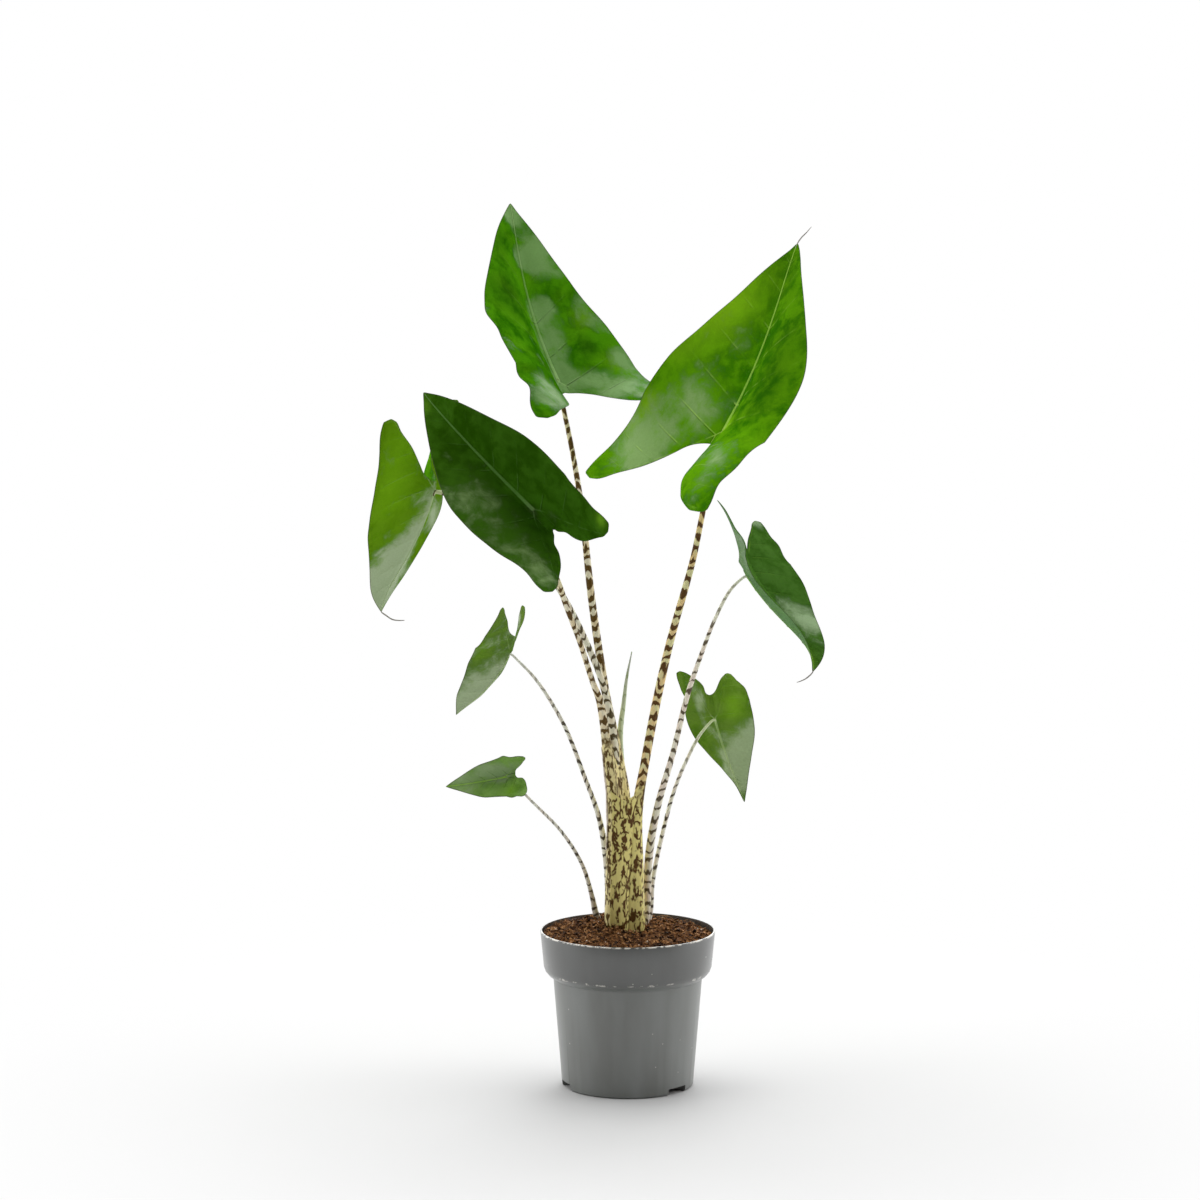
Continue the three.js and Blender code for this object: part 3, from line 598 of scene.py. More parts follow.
@dataclass(frozen=True)
class MouldedPolypropylene:
    """Moulded grey polypropylene: a satin skin with faint flow marks, scuffed pale on its step, pale on the
    front of its lip with wear and a painted highlight, and with a painted shade on its band.
    """

    name: str = "moulded_grey_polypropylene"
    body: str = "737673"
    dull: str = "646662"
    wear_and_highlight: str = "d9d5ca"
    rim_height: float = 152.4
    step_height: float = 114.2

    def make(self) -> bpy.types.Material:
        """Build the material."""
        r = Recipe(self.name)
        place = r.add("TexCoord", {}, "Object")
        height = r.add("SeparateXYZ", {0: place}, 2)
        flow = r.add("Mapping", {0: place, 3: (1.0, 1.0, 0.25)})
        flow = r.add("TexNoise", {"Vector": flow, "Scale": 30.0, "Detail": 3.0, "Roughness": 0.5})
        tone = r.add("MapRange", {0: flow, 1: 0.35, 2: 0.65})
        body = r.add("Mix", {0: tone, 6: colour(self.dull), 7: colour(self.body)}, 2, data_type="RGBA")

        # The band above the step is glossier than the body and painted darker, a painted shade
        upper = r.add("MapRange", {0: height, 1: (self.step_height - 6) * MM, 2: self.step_height * MM,
                                   3: 1.0, 4: 0.4})
        body = r.add("Mix", {0: 1.0, 6: body, 7: upper}, 2, data_type="RGBA", blend_type="MULTIPLY")

        # Pale marks sit in broken runs on the front of the lip, wear with a painted highlight, and as scuffs
        # on the step, with pale specks all over
        rub = r.add("TexNoise", {"Vector": place, "Scale": 130.0, "Detail": 3.0, "Roughness": 0.7})
        on_lip = r.add("MapRange", {0: height, 1: (self.rim_height - 0.9) * MM, 2: self.rim_height * MM})
        lip = r.add("MapRange", {0: rub, 1: 0.44, 2: 0.52})
        lip = r.add("Math", {0: lip, 1: on_lip}, operation="MULTIPLY")
        front = r.add("MapRange", {0: height.node.outputs[1], 1: 10.0 * MM, 2: -20.0 * MM})
        lip = r.add("Math", {0: lip, 1: front}, operation="MULTIPLY")
        off_step = r.add("Math", {0: height, 1: self.step_height * MM}, operation="SUBTRACT")
        off_step = r.add("Math", {0: off_step}, operation="ABSOLUTE")
        stray = r.add("TexNoise", {"Vector": place, "Scale": 40.0, "Detail": 3.0})
        stray = r.add("MapRange", {0: stray, 3: -2.4 * MM, 4: 2.4 * MM})
        off_step = r.add("Math", {0: off_step, 1: stray}, operation="ADD")
        on_step = r.add("MapRange", {0: off_step, 1: 0.2 * MM, 2: 0.9 * MM, 3: 1.0, 4: 0.0})
        step = r.add("MapRange", {0: rub, 1: 0.52, 2: 0.64, 4: 0.7})
        step = r.add("Math", {0: step, 1: on_step}, operation="MULTIPLY")
        pale_marks_and_highlight = r.add("Math", {0: lip, 1: step}, operation="MAXIMUM")
        specks = r.add("TexVoronoi", {"Vector": place, "Scale": 70.0}, 0)
        specks = r.add("MapRange", {0: specks, 1: 0.035, 2: 0.06, 3: 0.5, 4: 0.0})
        pale_marks_and_highlight = r.add("Math", {0: pale_marks_and_highlight, 1: specks}, operation="MAXIMUM")
        body = r.add("Mix", {0: pale_marks_and_highlight, 6: body, 7: colour(self.wear_and_highlight)}, 2, data_type="RGBA")

        matt = r.add("TexNoise", {"Vector": place, "Scale": 1400.0, "Detail": 2.0})
        bump = r.add("Bump", {"Strength": 0.35, "Distance": 0.08 * MM, "Height": matt})
        rough = r.add("MapRange", {0: tone, 3: 0.3, 4: 0.38})
        polish = r.add("MapRange", {0: upper, 1: 0.4, 2: 1.0, 3: 0.6, 4: 0.1})
        plastic = r.add("BsdfPrincipled", {
            "Coat Weight": polish, "Coat Roughness": 0.25,
            "Base Color": body, "Roughness": rough, "IOR": 1.49, "Specular IOR Level": 1.0, "Normal": bump,
        })
        r.add("OutputMaterial", {"Surface": plastic})
        return r.material


@dataclass(frozen=True)
class BarkSoil:
    """Bark and coir potting soil: damp red-brown crumbs, some of them nearly black."""

    name: str
    dark: str
    middle: str
    light: str
    grain: float = 3.0
    roughness: float = 0.85

    def make(self) -> bpy.types.Material:
        """Build the material."""
        r = Recipe(self.name)
        place = r.add("TexCoord", {}, "Object")
        tone = r.add("Attribute", {}, "Fac", attribute_name="tone")
        crumbs = r.add("TexNoise", {"Vector": place, "Scale": 1000.0 / self.grain, "Detail": 4.0,
                                    "Roughness": 0.65})
        both = r.add("Math", {0: tone, 1: 0.45, 2: crumbs}, operation="MULTIPLY_ADD")
        shade = r.add("ValToRGB", {0: both}, stops=(
            (0.0, colour(self.dark)), (0.38, colour(self.dark)), (0.54, colour(self.middle)),
            (0.78, colour(self.light)),
        ))
        grit = r.add("TexNoise", {"Vector": place, "Scale": 2200.0, "Detail": 2.0})
        bump = r.add("Bump", {"Strength": 0.8, "Distance": 0.5 * MM, "Height": grit})
        soil = r.add("BsdfPrincipled", {
            "Base Color": shade, "Roughness": self.roughness, "Specular IOR Level": 0.12, "Normal": bump,
        })
        r.add("OutputMaterial", {"Surface": soil})
        return r.material


@dataclass(frozen=True)
class WhitePaint:
    """Matt white floor paint, which shows soft shadows and goes over into a lit white sweep."""

    name: str = "matt_white_floor"
    shade: str = "c6c6c6"
    near: float = 0.3
    far: float = 0.8

    def make(self) -> bpy.types.Material:
        """Build the material."""
        r = Recipe(self.name)
        place = r.add("TexCoord", {}, "Object")
        faint = r.add("TexNoise", {"Vector": place, "Scale": 3.0})
        faint = r.add("MapRange", {0: faint, 3: 0.995, 4: 1.0})
        paint = r.add("Mix", {0: 1.0, 6: colour(self.shade), 7: faint}, 2, data_type="RGBA",
                      blend_type="MULTIPLY")
        floor = r.add("BsdfPrincipled", {"Base Color": paint, "Roughness": 0.9, "Specular IOR Level": 0.1})
        lit = r.add("Emission", {"Color": (1.0, 1.0, 1.0, 1.0), "Strength": 1.0})
        out = r.add("VectorMath", {0: place}, "Value", operation="LENGTH")
        away = r.add("MapRange", {0: out, 1: self.near, 2: self.far}, interpolation_type="SMOOTHSTEP")
        sweep = r.add("MixShader", {0: away, 1: floor, 2: lit})
        r.add("OutputMaterial", {"Surface": sweep})
        return r.material


# The plant


@dataclass(frozen=True)
class LeafPlan:
    """Half of a blade laid flat, for a midrib of 200 ahead of the stalk."""

    ahead: float = 200.0
    lobe: float = 94.0
    widest: float = 109.0
    outer: Curve = through([
        (-94, 100), (-90, 108), (-80, 109), (-53, 102), (-16, 94), (19, 89), (55, 79),
        (110, 49), (146, 29), (175, 14), (190, 6), (200, 0.8),
    ])
    inner: Curve = through([
        (0, 0), (0.04, 10), (0.13, 23), (0.3, 37), (0.57, 56), (0.82, 78), (0.96, 88), (1, 94),
    ])
    trim_stations: tuple[float, ...] = (-1.0, -0.35, 0.3, 0.75, 1.0)
    trim_shares: tuple[float, ...] = (0.0, 0.4, 1.0)
    # Where each side vein leaves the midrib (above 0) or the rib of the lobe (below 0)
    feet: tuple[float, ...] = (-142.0, -108.0, -75.0, -41.0, -8.0, 27.0, 66.0, 108.0, 146.0, 177.0, 206.0)
    first_foot: int = -5
    # The angle between a side vein and the midrib, in degrees, where it leaves at these places
    angle_places: tuple[float, ...] = (-134, -60, 0, 30, 100, 200)
    angles: tuple[float, ...] = (108, 90, 74, 62, 50, 36)
    arching: float = 450.0
    costa: tuple[float, float] = (-0.766, 0.642)
    # Where the foot of a point's side vein is looked for, and how often that stretch is halved
    search: tuple[float, float] = (-170.0, 260.0)
    halvings: int = 26

    def veins(self, x: Array, y: Array) -> tuple[Array, Array, Array]:
        """Find how the veins run past each point of the plan.

        Args:
            x: Place along the midrib.
            y: Distance from it.

        Returns:
            The phase, a whole number on each side vein; the distance along the side vein from
            its foot; and the distance from the rib of the lobe, below 0 behind it.
        """
        warped = x - y * y / self.arching
        cx, cy = self.costa
        beyond = warped * cy - y * cx
        low = np.full_like(x, self.search[0])
        high = np.full_like(x, self.search[1])
        for _ in range(self.halvings):
            guess = (low + high) / 2
            foot_x = np.where(guess > 0, guess, -guess * cx)
            foot_y = np.where(guess > 0, 0.0, -guess * cy)
            angle = np.radians(np.interp(guess, self.angle_places, self.angles))
            side = np.cos(angle) * (y - foot_y) - np.sin(angle) * (warped - foot_x)
            low = np.where(side < 0, guess, low)
            high = np.where(side < 0, high, guess)
        ahead_foot = (low + high) / 2
        behind_foot = -y / cy
        ahead = beyond > 0
        foot = np.where(ahead, ahead_foot, behind_foot)
        foot_x = np.where(foot > 0, foot, -foot * cx)
        foot_y = np.where(foot > 0, 0.0, -foot * cy)
        reach = np.hypot(warped - foot_x, y - foot_y)
        numbers = np.arange(len(self.feet)) + float(self.first_foot)
        phase = np.interp(foot, self.feet, numbers)
        return phase, reach, np.where(x > 30, 60.0, beyond)


PLAN = LeafPlan()


@dataclass(frozen=True)
class Wave:
    """How one margin waves ahead of the lobes: out of the blade and in its plane."""

    out: float
    level: float
    halves: float
    start: float


@dataclass
class Leaf:
    """One leaf blade: its shape and how it hangs.

    attach is where the stalk meets the blade. heading, rise and roll turn it. length, lobe,
    sinus and width are its sizes, and the other numbers bend it, in degrees. Each fold is for
    lobe end, stalk and tip, and each curl is for every 100 across. The trims are how far the
    margins stand outside the plan: the outer one at lobe end, lobe, middle and near the tip,
    then the inner one. Each nick is a side, a station, its spread and how far the margin stands
    out there. Each patch of painted light is a place along and across, left above 0, a radius
    and an amount. Above 0 a painted sheen greys the green, and below 0 a painted shade darkens it.
    A flush is such a patch of yellower green, a painted glow. notch moves the inner margin
    beside the stalk. thread is the dry tip: x, y, z and radius of each of its points, from the
    end of the blade.
    """

    name: str
    attach: Place
    turn: tuple[float, float, float]
    length: float
    lobe: float
    sinus: float
    width: float
    bend: tuple[float, float, float]
    lobe_bend: tuple[float, float, float, float]
    fold_left: tuple[float, float, float]
    fold_right: tuple[float, float, float]
    curl: tuple[float, float]
    wave_left: Wave
    wave_right: Wave
    trim_left: tuple[float, ...]
    trim_right: tuple[float, ...]
    upper: LeafSkin
    under: LeafSkin
    bloom: Points = ()
    flush: Points = ()
    notch: float = 0.0
    nicks: tuple[tuple[int, float, float, float], ...] = ()
    thread: Points = ()
    thickness: float = 0.6
    keel: float = 0.014
    valley: float = 0.05
    lobe_round: float = 12.0
    tip_round: float = 1.5
    relief: float = 0.7
    seed: int = 1
    least_width: float = 3.0
    spine_steps: int = 300
    across_steps: int = 24

    def __post_init__(self) -> None:
        """Work out the blade's own frame and its two spines."""
        heading, rise, roll = self.turn
        self.frame = turns(np.array(roll), np.array(-rise), np.array(heading))
        self.sinus_share = self.sinus / self.lobe
        self.across = self.width / PLAN.widest
        self.spines = {side: self.spine(side) for side in (1, -1)}
        self.trims = {1: self.trim(self.trim_left), -1: self.trim(self.trim_right)}

    def axes(self, station: Array, side: int) -> Array:
        """Give the directions along, across and out of the blade as the columns of matrices.

        Args:
            station: -1 at the lobe end, 0 at the stalk, 1 at the tip.
            side: 1 for the left half, -1 for the right.

        Returns:
            A 3 by 3 matrix for each station.
        """
        arch, tip_curl, sweep = self.bend
        twist, lobe_lift, lobe_split, lobe_twist = self.lobe_bend
        front = station > 0
        behind = np.clip((-station - self.sinus_share) / (1 - self.sinus_share), 0, 1)
        yaw = np.where(front, sweep * station, 0.0)
        pitch = np.where(front, arch * station + tip_curl * station**5, -lobe_lift * station)
        pitch = pitch + side * lobe_split * behind
        roll = np.where(front, twist, lobe_twist) * station
        return turns(roll, pitch, yaw)

    def spine(self, side: int) -> tuple[Array, Array]:
        """Lay out the midrib and its line back between the lobes."""
        share = (np.arange(self.spine_steps) + 0.5) / self.spine_steps
        ahead = self.axes(share, side)[:, :, 0] * self.length / self.spine_steps
        back = -self.axes(-share, side)[:, :, 0] * self.lobe / self.spine_steps
        start = np.zeros((1, 3))
        points = np.concatenate([np.cumsum(back, axis=0)[::-1], start, np.cumsum(ahead, axis=0)])
        return np.linspace(-1, 1, 2 * self.spine_steps + 1), points

    def fold(self, station: Array, side: int) -> Array:
        """Give the fold of one half in degrees at each station."""
        lobe, middle, tip = self.fold_left if side > 0 else self.fold_right
        behind = middle + (lobe - middle) * (1 - (1 + np.minimum(station, 0)) ** 2)
        return np.where(station > 0, middle + (tip - middle) * station, behind)

    def point(self, station: Array, distance: Array, side: int) -> Array:
        """Bend points of the flat plan to their places.

        Args:
            station: -1 at the lobe end, 0 at the stalk, 1 at the tip.
            distance: Distance from the midrib.
            side: 1 for the left half, -1 for the right.

        Returns:
            A row of x, y and z for each point.
        """
        frames = self.axes(station, side)
        fold = np.radians(self.fold(station, side))
        curl = math.radians(self.curl[0] if side > 0 else self.curl[1]) / 100
        valley = self.valley * self.length
        wave = self.wave_left if side > 0 else self.wave_right
        fade = (distance / self.width) ** 2 * smooth_step(station, -0.75, -0.25)
        swing = fade * np.sin(math.pi * wave.halves * station + math.radians(wave.start))
        reach = distance + wave.level * swing
        flat = -wave.out * swing * np.sin(fold)
        high = wave.out * swing * np.cos(fold)
        for step in range(self.across_steps):
            at = reach * (step + 0.5) / self.across_steps
            angle = fold * smooth_step(at, 0.0, valley) + curl * np.maximum(at - valley, 0)
            flat = flat + np.cos(angle) * reach / self.across_steps
            high = high + np.sin(angle) * reach / self.across_steps
        where, line = self.spines[side]
        place = np.stack([np.interp(station, where, line[:, k]) for k in range(3)], -1)
        place += frames[:, :, 1] * (side * flat)[:, None] + frames[:, :, 2] * high[:, None]
        return place @ self.frame.T + np.array(self.attach)

    def out(self, station: Array, distance: Array, side: int) -> Array:
        """Give the way out of the upper side at each point."""
        small = 0.003
        ahead = self.point(np.minimum(station + small, 1), distance, side)
        along = ahead - self.point(np.maximum(station - small, -1), distance, side)
        far = self.point(station, distance + 0.5, side)
        across = far - self.point(station, np.maximum(distance - 0.5, 0), side)
        way = np.cross(along, across) * side
        return way / np.linalg.norm(way, axis=1, keepdims=True)

    def stations(self, pitch: float) -> Array:
        """Space the rows of the blade, closest at its ends and at the sinus.

        Args:
            pitch: Usual distance between rows.

        Returns:
            The station of each row, from lobe end to tip.
        """
        ease = 1 - np.cos(np.linspace(0, math.pi / 2, 8))
        end = -1 + ease * self.lobe_round / self.lobe
        open_part = (-self.sinus_share - end[-1]) * self.lobe
        count = max(int(open_part / pitch), 4)
        lobes = end[-1] + (1 - (1 - np.linspace(0, 1, count + 1)[1:]) ** 1.35) * open_part / self.lobe
        lobes[-1] = -self.sinus_share
        count = max(int(self.sinus / pitch), 2)
        joined = -self.sinus_share * (1 - np.linspace(0, 1, count + 1)[1:])
        tip = 1 - (1 - np.sin(np.linspace(0, math.pi / 2, 5))) * self.tip_round / self.length
        count = int(self.length / pitch)
        ahead = np.linspace(0, tip[0], count + 1)[1:]
        return np.concatenate([end, lobes, joined, ahead, tip[1:]])

    def trim(self, offsets: tuple[float, ...]) -> tuple[Curve, Curve]:
        """Turn the trims of one half into curves for its outer and its inner margin."""
        outer = through(list(zip(PLAN.trim_stations, (*offsets[:4], 0.0))))
        inner = through(list(zip(PLAN.trim_shares, (0.0, offsets[4], 0.0))))
        return outer, inner

    def margins(self, station: Array, side: int) -> tuple[Array, Array]:
        """Give the distances of the inner and outer margin from the midrib at each station."""
        along = np.where(station < 0, station * PLAN.lobe, station * PLAN.ahead)
        share = (-station - self.sinus_share) / (1 - self.sinus_share)
        trim_outer, trim_inner = self.trims[side]
        behind = np.clip(share, 0, 1)
        beside = self.notch * np.exp(-(((behind - 0.1) / 0.09) ** 2))
        inner = np.maximum(PLAN.inner(behind) * self.across + trim_inner(behind) + beside, 0)
        inner = np.where(share <= 0, 0.0, inner)
        outer = PLAN.outer(along) * self.across + trim_outer(station)
        for half, place, spread, rise in self.nicks:
            outer = outer + (half == side) * rise * np.exp(-(((station - place) / spread) ** 2))
        outer = np.where(share > 0, np.maximum(outer, inner + self.least_width), outer)
        middle = (inner + outer) / 2
        ending = np.clip((outer - inner)[0] / 2, 2.0, self.lobe_round)
        from_end = np.clip(1 - (1 + station) * self.lobe / ending, 0, 1)
        from_tip = np.clip(1 - (1 - station) * self.length / self.tip_round, 0, 1)
        pinch = np.sqrt(1 - from_end**2)
        inner, outer = middle + (inner - middle) * pinch, middle + (outer - middle) * pinch
        return inner, outer * np.sqrt(1 - from_tip**2)

    def cut_out(self, pitch: float) -> Piece:
        """Cut the blade out flat and give it its thickness.

        Args:
            pitch: Usual distance between vertices.

        Returns:
            The flat blade, with its upper side up.
        """
        rows = self.stations(pitch)
        columns = max(int(self.width / pitch), 12)
        along = np.where(rows < 0, rows * self.lobe, rows * self.length)
        halves = []
        for side in (1, -1):
            inner, outer = self.margins(rows, side)
            half = flat_sheet(f"half_{self.name}", len(rows) - 1, columns)
            grid = places(half)
            i = np.rint((grid[:, 0] + 0.5) * (len(rows) - 1)).astype(int)
            j = np.rint((grid[:, 1] + 0.5) * columns) / columns
            share = (j if side > 0 else 1 - j) ** 1.15
            distance = inner[i] + (outer[i] - inner[i]) * share
            put(half, np.stack([along[i], side * distance, np.zeros(len(i))], -1) * MM)
            halves.append(half)
        blade = join(halves)
        blade.name = blade.data.name = f"blade_{self.name}_leaf"
        weld(blade, outward=False)
        for finish in (self.upper, self.under):
            blade.data.materials.append(finish.make(self.length / PLAN.ahead))
        fix(blade, "SOLIDIFY", thickness=MM, offset=0.0, use_rim=True, material_offset=1,
            material_offset_rim=1)
        return blade

    def press(self, blade: Piece) -> None:
        """Bend the flat blade to its shape and press its veins in."""
        flat = places(blade) / MM
        x, y, top = flat[:, 0], flat[:, 1], flat[:, 2] > 0
        station = np.where(x < 0, x / self.lobe, x / self.length)
        distance = np.abs(y)
        plan_x = np.where(x < 0, station * PLAN.lobe, station * PLAN.ahead)
        plan_y = distance / self.across
        phase, reach, costa = PLAN.veins(plan_x, plan_y)
        size = self.length / PLAN.ahead
        reach, costa = reach * size, costa * size
        edge = np.where(y >= 0, self.off_edge(station, distance, 1), self.off_edge(station, distance, -1))
        middle = np.where(x < 0, np.hypot(x, y), distance)

        dent, ridge = self.surface(station, x, y, phase, reach, costa, middle, edge)
        shape = np.zeros_like(flat)
        for side in (1, -1):
            half = (y >= 0) if side > 0 else (y < 0)
            bent = self.point(station[half], distance[half], side)
            way = self.out(station[half], distance[half], side)
            thick = self.thickness / 2 * (0.45 + 0.55 * smooth_step(edge[half], 0, 6))
            level = np.where(top[half], thick, -thick - ridge[half]) + dent[half]
            shape[half] = bent + way * level[:, None]
        put(blade, shape * MM)
        note(blade, "veins", np.stack([phase, reach, costa], -1))
        note(blade, "ribs", np.stack([middle, edge, station], -1))
        patches = np.zeros_like(flat)
        for column, spots in enumerate((self.bloom, self.flush)):
            for along, across, radius, amount in spots:
                away = ((x - along) ** 2 + (y - across) ** 2) / radius**2
                patches[:, column] += amount * np.exp(-away)
        note(blade, "bloom", patches)

    def off_edge(self, station: Array, distance: Array, side: int) -> Array:
        """Give the distance in from the nearer margin of one half."""
        station = np.concatenate([[-1.0], station])
        inner, outer = (margin[1:] for margin in self.margins(station, side))
        gap = np.where(station[1:] < -self.sinus_share, distance - inner, 99.0)
        return np.clip(np.minimum(outer - distance, gap), 0, 99)

    def surface(self, station: Array, x: Array, y: Array, phase: Array, reach: Array, costa: Array,
                middle: Array, edge: Array) -> tuple[Array, Array]:
        """Work out the relief of the blade.

        Args:
            station: -1 at the lobe end, 0 at the stalk, 1 at the tip.
            x: Place along the flat blade.
            y: Place across it.
            phase: Whole number on each side vein.
            reach: Distance along the side vein.
            costa: Distance from the rib of the lobe.
            middle: Distance from the midrib.
            edge: Distance from the margin.

        Returns:
            How far the blade stands out, and how far the ribs stand out under it.
        """
        size = self.length / PLAN.ahead
        inside = smooth_step(edge, 1, 22 * size)
        away = np.abs((phase + 0.5) % 1 - 0.5)
        spacing = VEIN_SPACING * size
        rise = smooth_step(reach, 0, 14 * size) * (1 - 0.75 * smooth_step(reach, 30 * size, 75 * size))
        quilt = np.sin(math.pi * (phase % 1)) ** 2 * rise * inside
        groove = np.exp(-((away * spacing / 1.1) ** 2)) * inside
        taper = np.where(station > 0, 1 - 0.8 * station, 1.0)
        trough = np.exp(-((middle / (4.5 * size * taper + 0.4)) ** 2)) * taper
        rib_line = np.exp(-((middle / (1.5 * size * taper + 0.25)) ** 2)) * taper
        lobe_taper = np.clip(1 + station, 0, 1) * smooth_step(-costa, -30, -8)
        lobe_taper = lobe_taper * smooth_step(30 - np.abs(costa), 0, 20)
        lobe_line = np.exp(-((costa / (1.2 * size + 0.2)) ** 2)) * lobe_taper
        stream = random.Random(self.seed)
        ripple = np.zeros_like(x)
        for _ in range(7):
            way = stream.uniform(0, math.pi)
            long = stream.uniform(26, 60) * size + 8
            ripple += np.sin((x * math.cos(way) + y * math.sin(way)) * 2 * math.pi / long
                             + stream.uniform(0, 6.3)) * 0.16
        ripple *= smooth_step(middle, 2, 25 * size)
        dent = 0.8 * size * quilt - 0.3 * groove - 0.9 * size * trough + 0.7 * size * rib_line
        dent = (dent - 0.5 * size * lobe_line + ripple * (0.6 + 0.4 * size)) * self.relief
        keel = self.keel * self.length
        ridge = keel * rib_line + 0.45 * keel * lobe_line + 0.35 * size * groove
        return dent, ridge * smooth_step(edge, 0, 3)

    def drip_tip(self) -> Piece:
        """Draw the blade's tip out to the thin curled thread that it ends in."""
        ends = np.array([0.97, 1.0])
        line = self.point(ends, np.zeros(2), 1)
        start = [(*line[0], 0.35), (*line[1], 0.6)]
        steps = [(*(line[1] + np.array(step[:3])), step[3]) for step in self.thread]
        thread = Route((*start, *steps)).tube(f"tip_{self.name}", sides=10, pitch=1.0)
        thread.data.materials.append(DRY_TIP.make())
        return thread

    def footing(self, radius: float) -> list[tuple[float, float, float, float]]:
        """Give the last points of the stalk, which runs into the midrib under the blade.

        Args:
            radius: Radius of the stalk where it reaches the blade.

        Returns:
            x, y, z and radius of each point.
        """
        points = []
        for along, share in ((0.0, 1.0), (2.6 * radius, 0.6)):
            station = np.array([along / self.length + 0.002])
            middle = self.point(station, np.zeros(1), 1)[0]
            ways = [self.out(station, np.full(1, 1.0), side)[0] for side in (1, -1)]
            way = (ways[0] + ways[1]) / np.linalg.norm(ways[0] + ways[1])
            points.append((*(middle - way * (radius * share + 0.15)), radius * share))
        return points

    def build(self, pitch: float) -> Piece:
        """Make the whole blade.

        Args:
            pitch: Usual distance between vertices.

        Returns:
            The finished piece.
        """
        blade = self.cut_out(pitch)
        self.press(blade)
        if self.thread:
            blade = join([blade, self.drip_tip()])
        smooth(blade, 50)
        settle(blade, Slot.BLADE, f"blade_{self.name}")
        return blade


class Route:
    """A smooth line through points that also carries a radius, as a stalk does."""

    samples_per_span: int = 40

    def __init__(self, points: Points) -> None:
        """Keep the points.

        Args:
            points: x, y, z and radius of each, from the root up.
        """
        self.points = np.array(points, dtype=float)
        self.spans = len(points) - 1
        shares = np.arange(self.spans + 1) / self.spans
        self.radius = through(list(zip(shares, self.points[:, 3])))
        samples = np.linspace(0, 1, self.samples_per_span * self.spans + 1)
        steps = np.linalg.norm(np.diff(self.at(samples), axis=0), axis=1)
        self.shares, self.lengths = samples, np.concatenate([[0], np.cumsum(steps)])

    @property
    def length(self) -> float:
        """Length of the line."""
        return float(self.lengths[-1])

    def at(self, share: Array) -> Array:
        """Give the place at each share of the points, as a centripetal spline runs."""
        knots = self.points[:, :3]
        first, last = 2 * knots[0] - knots[1], 2 * knots[-1] - knots[-2]
        knots = np.concatenate([[first], knots, [last]])
        at = np.clip(share, 0, 1) * self.spans
        i = np.minimum(at.astype(int), self.spans - 1)
        t = (at - i)[:, None]
        a, b, c, d = knots[i], knots[i + 1], knots[i + 2], knots[i + 3]
        ab = np.sqrt(np.linalg.norm(b - a, axis=1))[:, None]
        bc = np.sqrt(np.linalg.norm(c - b, axis=1))[:, None]
        cd = np.sqrt(np.linalg.norm(d - c, axis=1))[:, None]
        start = ((b - a) / ab - (c - a) / (ab + bc) + (c - b) / bc) * bc
        end = ((c - b) / bc - (d - b) / (bc + cd) + (d - c) / cd) * bc
        return (b + start * t + (3 * (c - b) - 2 * start - end) * t**2
                + (2 * (b - c) + start + end) * t**3)

    def frames(self, length: Array) -> tuple[Array, Array, Array, Array]:
        """Give the line at distances along it.

        Args:
            length: Distances from the root.

        Returns:
            Places, directions along, directions across and directions to the back.
        """
        share = np.interp(length, self.lengths, self.shares)
        small = 0.5 / (self.samples_per_span * self.spans)
        along = self.at(np.minimum(share + small, 1)) - self.at(np.maximum(share - small, 0))
        along /= np.linalg.norm(along, axis=1, keepdims=True)
        across = np.cross(np.tile([0.0, 1.0, 0.0], (len(along), 1)), along)
        across /= np.linalg.norm(across, axis=1, keepdims=True)
        return self.at(share), along, across, np.cross(along, across)

    def tube(self, name: str, sides: int, pitch: float, flutes: float = 0.0) -> Piece:
        """Roll a sheet into a tapered tube along the line, closed at its root and domed at its end.

        Args:
            name: Name of the new piece.
            sides: Faces round the tube.
            pitch: Distance between rings.
            flutes: Depth of its faint length-wise flutes, as a share of the radius.

        Returns:
            The tube, with the attribute "skin": place on a straight tube, in millimetres.
        """
        end_radius = float(self.radius(np.array([1.0]))[0])
        body = np.linspace(0, self.length - end_radius, int(self.length / pitch) + 2)
        cap = np.linspace(0, math.pi / 2, 6)[1:]
        lengths = np.concatenate([[0], body, body[-1] + np.sin(cap) * end_radius])
        share = np.interp(lengths, self.lengths, self.shares)
        radii = self.radius(share)
        radii[0] = 0.0
        radii[len(body) + 1:] = np.cos(cap) * end_radius
        tube = flat_sheet(name, sides, len(lengths) - 1)
        grid = places(tube)
        i = np.rint((grid[:, 1] + 0.5) * (len(lengths) - 1)).astype(int)
        angle = (grid[:, 0] + 0.5) * 2 * math.pi + math.pi / 2
        centre, _, across, back = self.frames(lengths)
        radius = radii[i] * (1 + flutes * np.sin(5 * angle + lengths[i] / 90) * np.cos(3 * angle + 1))
        round_ = across[i] * np.cos(angle)[:, None] + back[i] * np.sin(angle)[:, None]
        put(tube, (centre[i] + round_ * radius[:, None]) * MM)
        straight = np.maximum(self.radius(share), 0.8)[i]
        note(tube, "skin", np.stack([straight * np.cos(angle), straight * np.sin(angle), lengths[i]], -1))
        weld(tube)
        return tube


